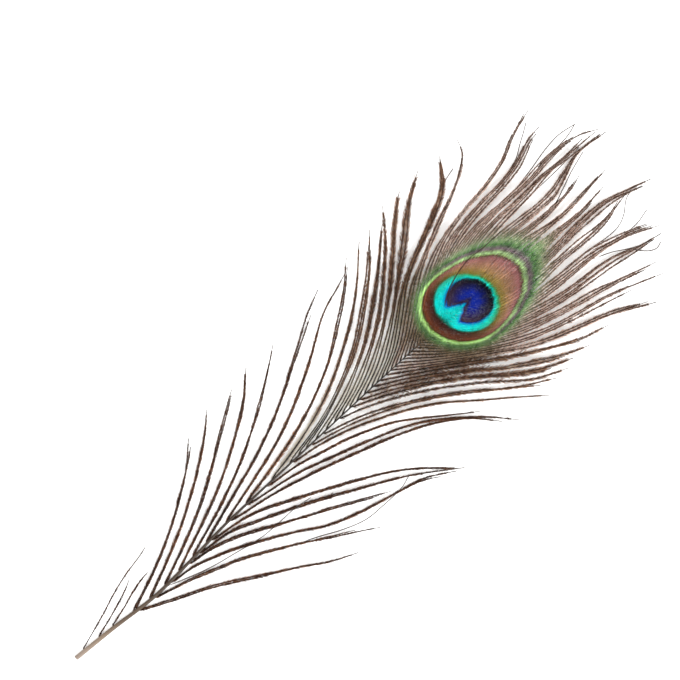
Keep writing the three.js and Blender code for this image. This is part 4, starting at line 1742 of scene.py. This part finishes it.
@dataclass(frozen=True)
class Lamp:
    """A square soft box, m and W, which looks at the middle of the floor."""

    name: str
    place: tuple[float, float, float]
    size: float
    power: float

    def build(self) -> None:
        """Adds it to the scene."""
        data = bpy.data.lights.new(self.name, "AREA")
        data.size = self.size
        data.energy = self.power
        lamp = bpy.data.objects.new(self.name, data)
        lamp.location = self.place
        aim = -lamp.location.normalized()
        lamp.rotation_mode = "QUATERNION"
        lamp.rotation_quaternion = aim.to_track_quat("-Z", "Y")
        bpy.context.scene.collection.objects.link(lamp)


@dataclass(frozen=True)
class Studio:
    """A pale table top under soft light, with the camera straight above it.

    Lens, sensor, view_width and look_at are in mm, and the rest in metres and radians.
    """

    lens: float = 135.0
    sensor: float = 36.0
    view_width: float = 272.0
    look_at: tuple[float, float] = (163.5, 23.7)
    roll: float = math.radians(-42)
    nearest: float = 0.01
    floor_size: float = 6.0
    sky: tuple[float, float, float, float] = (1.0, 1.0, 1.0, 1.0)
    sky_strength: float = 1.12
    lamps: tuple[Lamp, ...] = (
        Lamp("key", (0.1, -0.9, 1.1), 0.5, 15.0),
        Lamp("fill", (0.2, 0.9, 1.3), 1.0, 3.0),
    )

    def lay_floor(self) -> None:
        """Adds the floor, which is not part of the feather."""
        bpy.ops.object.select_all(action="DESELECT")
        bpy.ops.mesh.primitive_plane_add(size=self.floor_size, location=(0, 0, 0))
        floor = bpy.context.object
        floor.name = "floor"
        floor.data.materials.append(Paper().material())

    def light(self) -> None:
        """Adds an even white sky and the lamps."""
        world = bpy.data.worlds.new("studio")
        bpy.context.scene.world = world
        world.use_nodes = True
        background = world.node_tree.nodes["Background"]
        background.inputs["Color"].default_value = self.sky
        background.inputs["Strength"].default_value = self.sky_strength
        for lamp in self.lamps:
            lamp.build()

    def add_camera(self, placing: Placing) -> None:
        """Adds the camera, which looks straight down.

        Args:
            placing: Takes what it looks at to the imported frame.
        """
        scene = bpy.context.scene
        centre = placing.metres(np.array([*self.look_at, 0.0]))
        camera = bpy.data.objects.new("camera", bpy.data.cameras.new("camera"))
        camera.data.lens = self.lens
        camera.data.sensor_width = self.sensor
        camera.data.clip_start = self.nearest
        camera.location = (centre[0], centre[1], self.view_width * MM * self.lens / self.sensor)
        camera.rotation_euler = (0.0, 0.0, self.roll)
        scene.collection.objects.link(camera)
        scene.camera = camera

    def build(self, placing: Placing) -> None:
        """Adds floor, lights and camera.

        Args:
            placing: Takes the feather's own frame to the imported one.
        """
        bpy.context.scene.view_settings.view_transform = "Standard"
        self.lay_floor()
        self.light()
        self.add_camera(placing)


def main() -> None:
    """Builds the studio, the shaft and the vanes in order."""
    shaft = ShaftForm()
    placing = shaft.placing()
    log.info("shift to the packed frame: %.3f, %.3f mm", *placing.shift)
    Studio().build(placing)
    rod = Shaft(shaft, placing).build()
    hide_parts("shaft")
    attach(rod, BODY)
    log.info("%s: %d faces", rod.name, len(rod.data.polygons))
    pieces = Vanes(shaft).build(placing)
    log.info("all barbs: %d triangles", sum(len(piece.data.polygons) for piece in pieces))


if __name__ == "__main__":
    main()
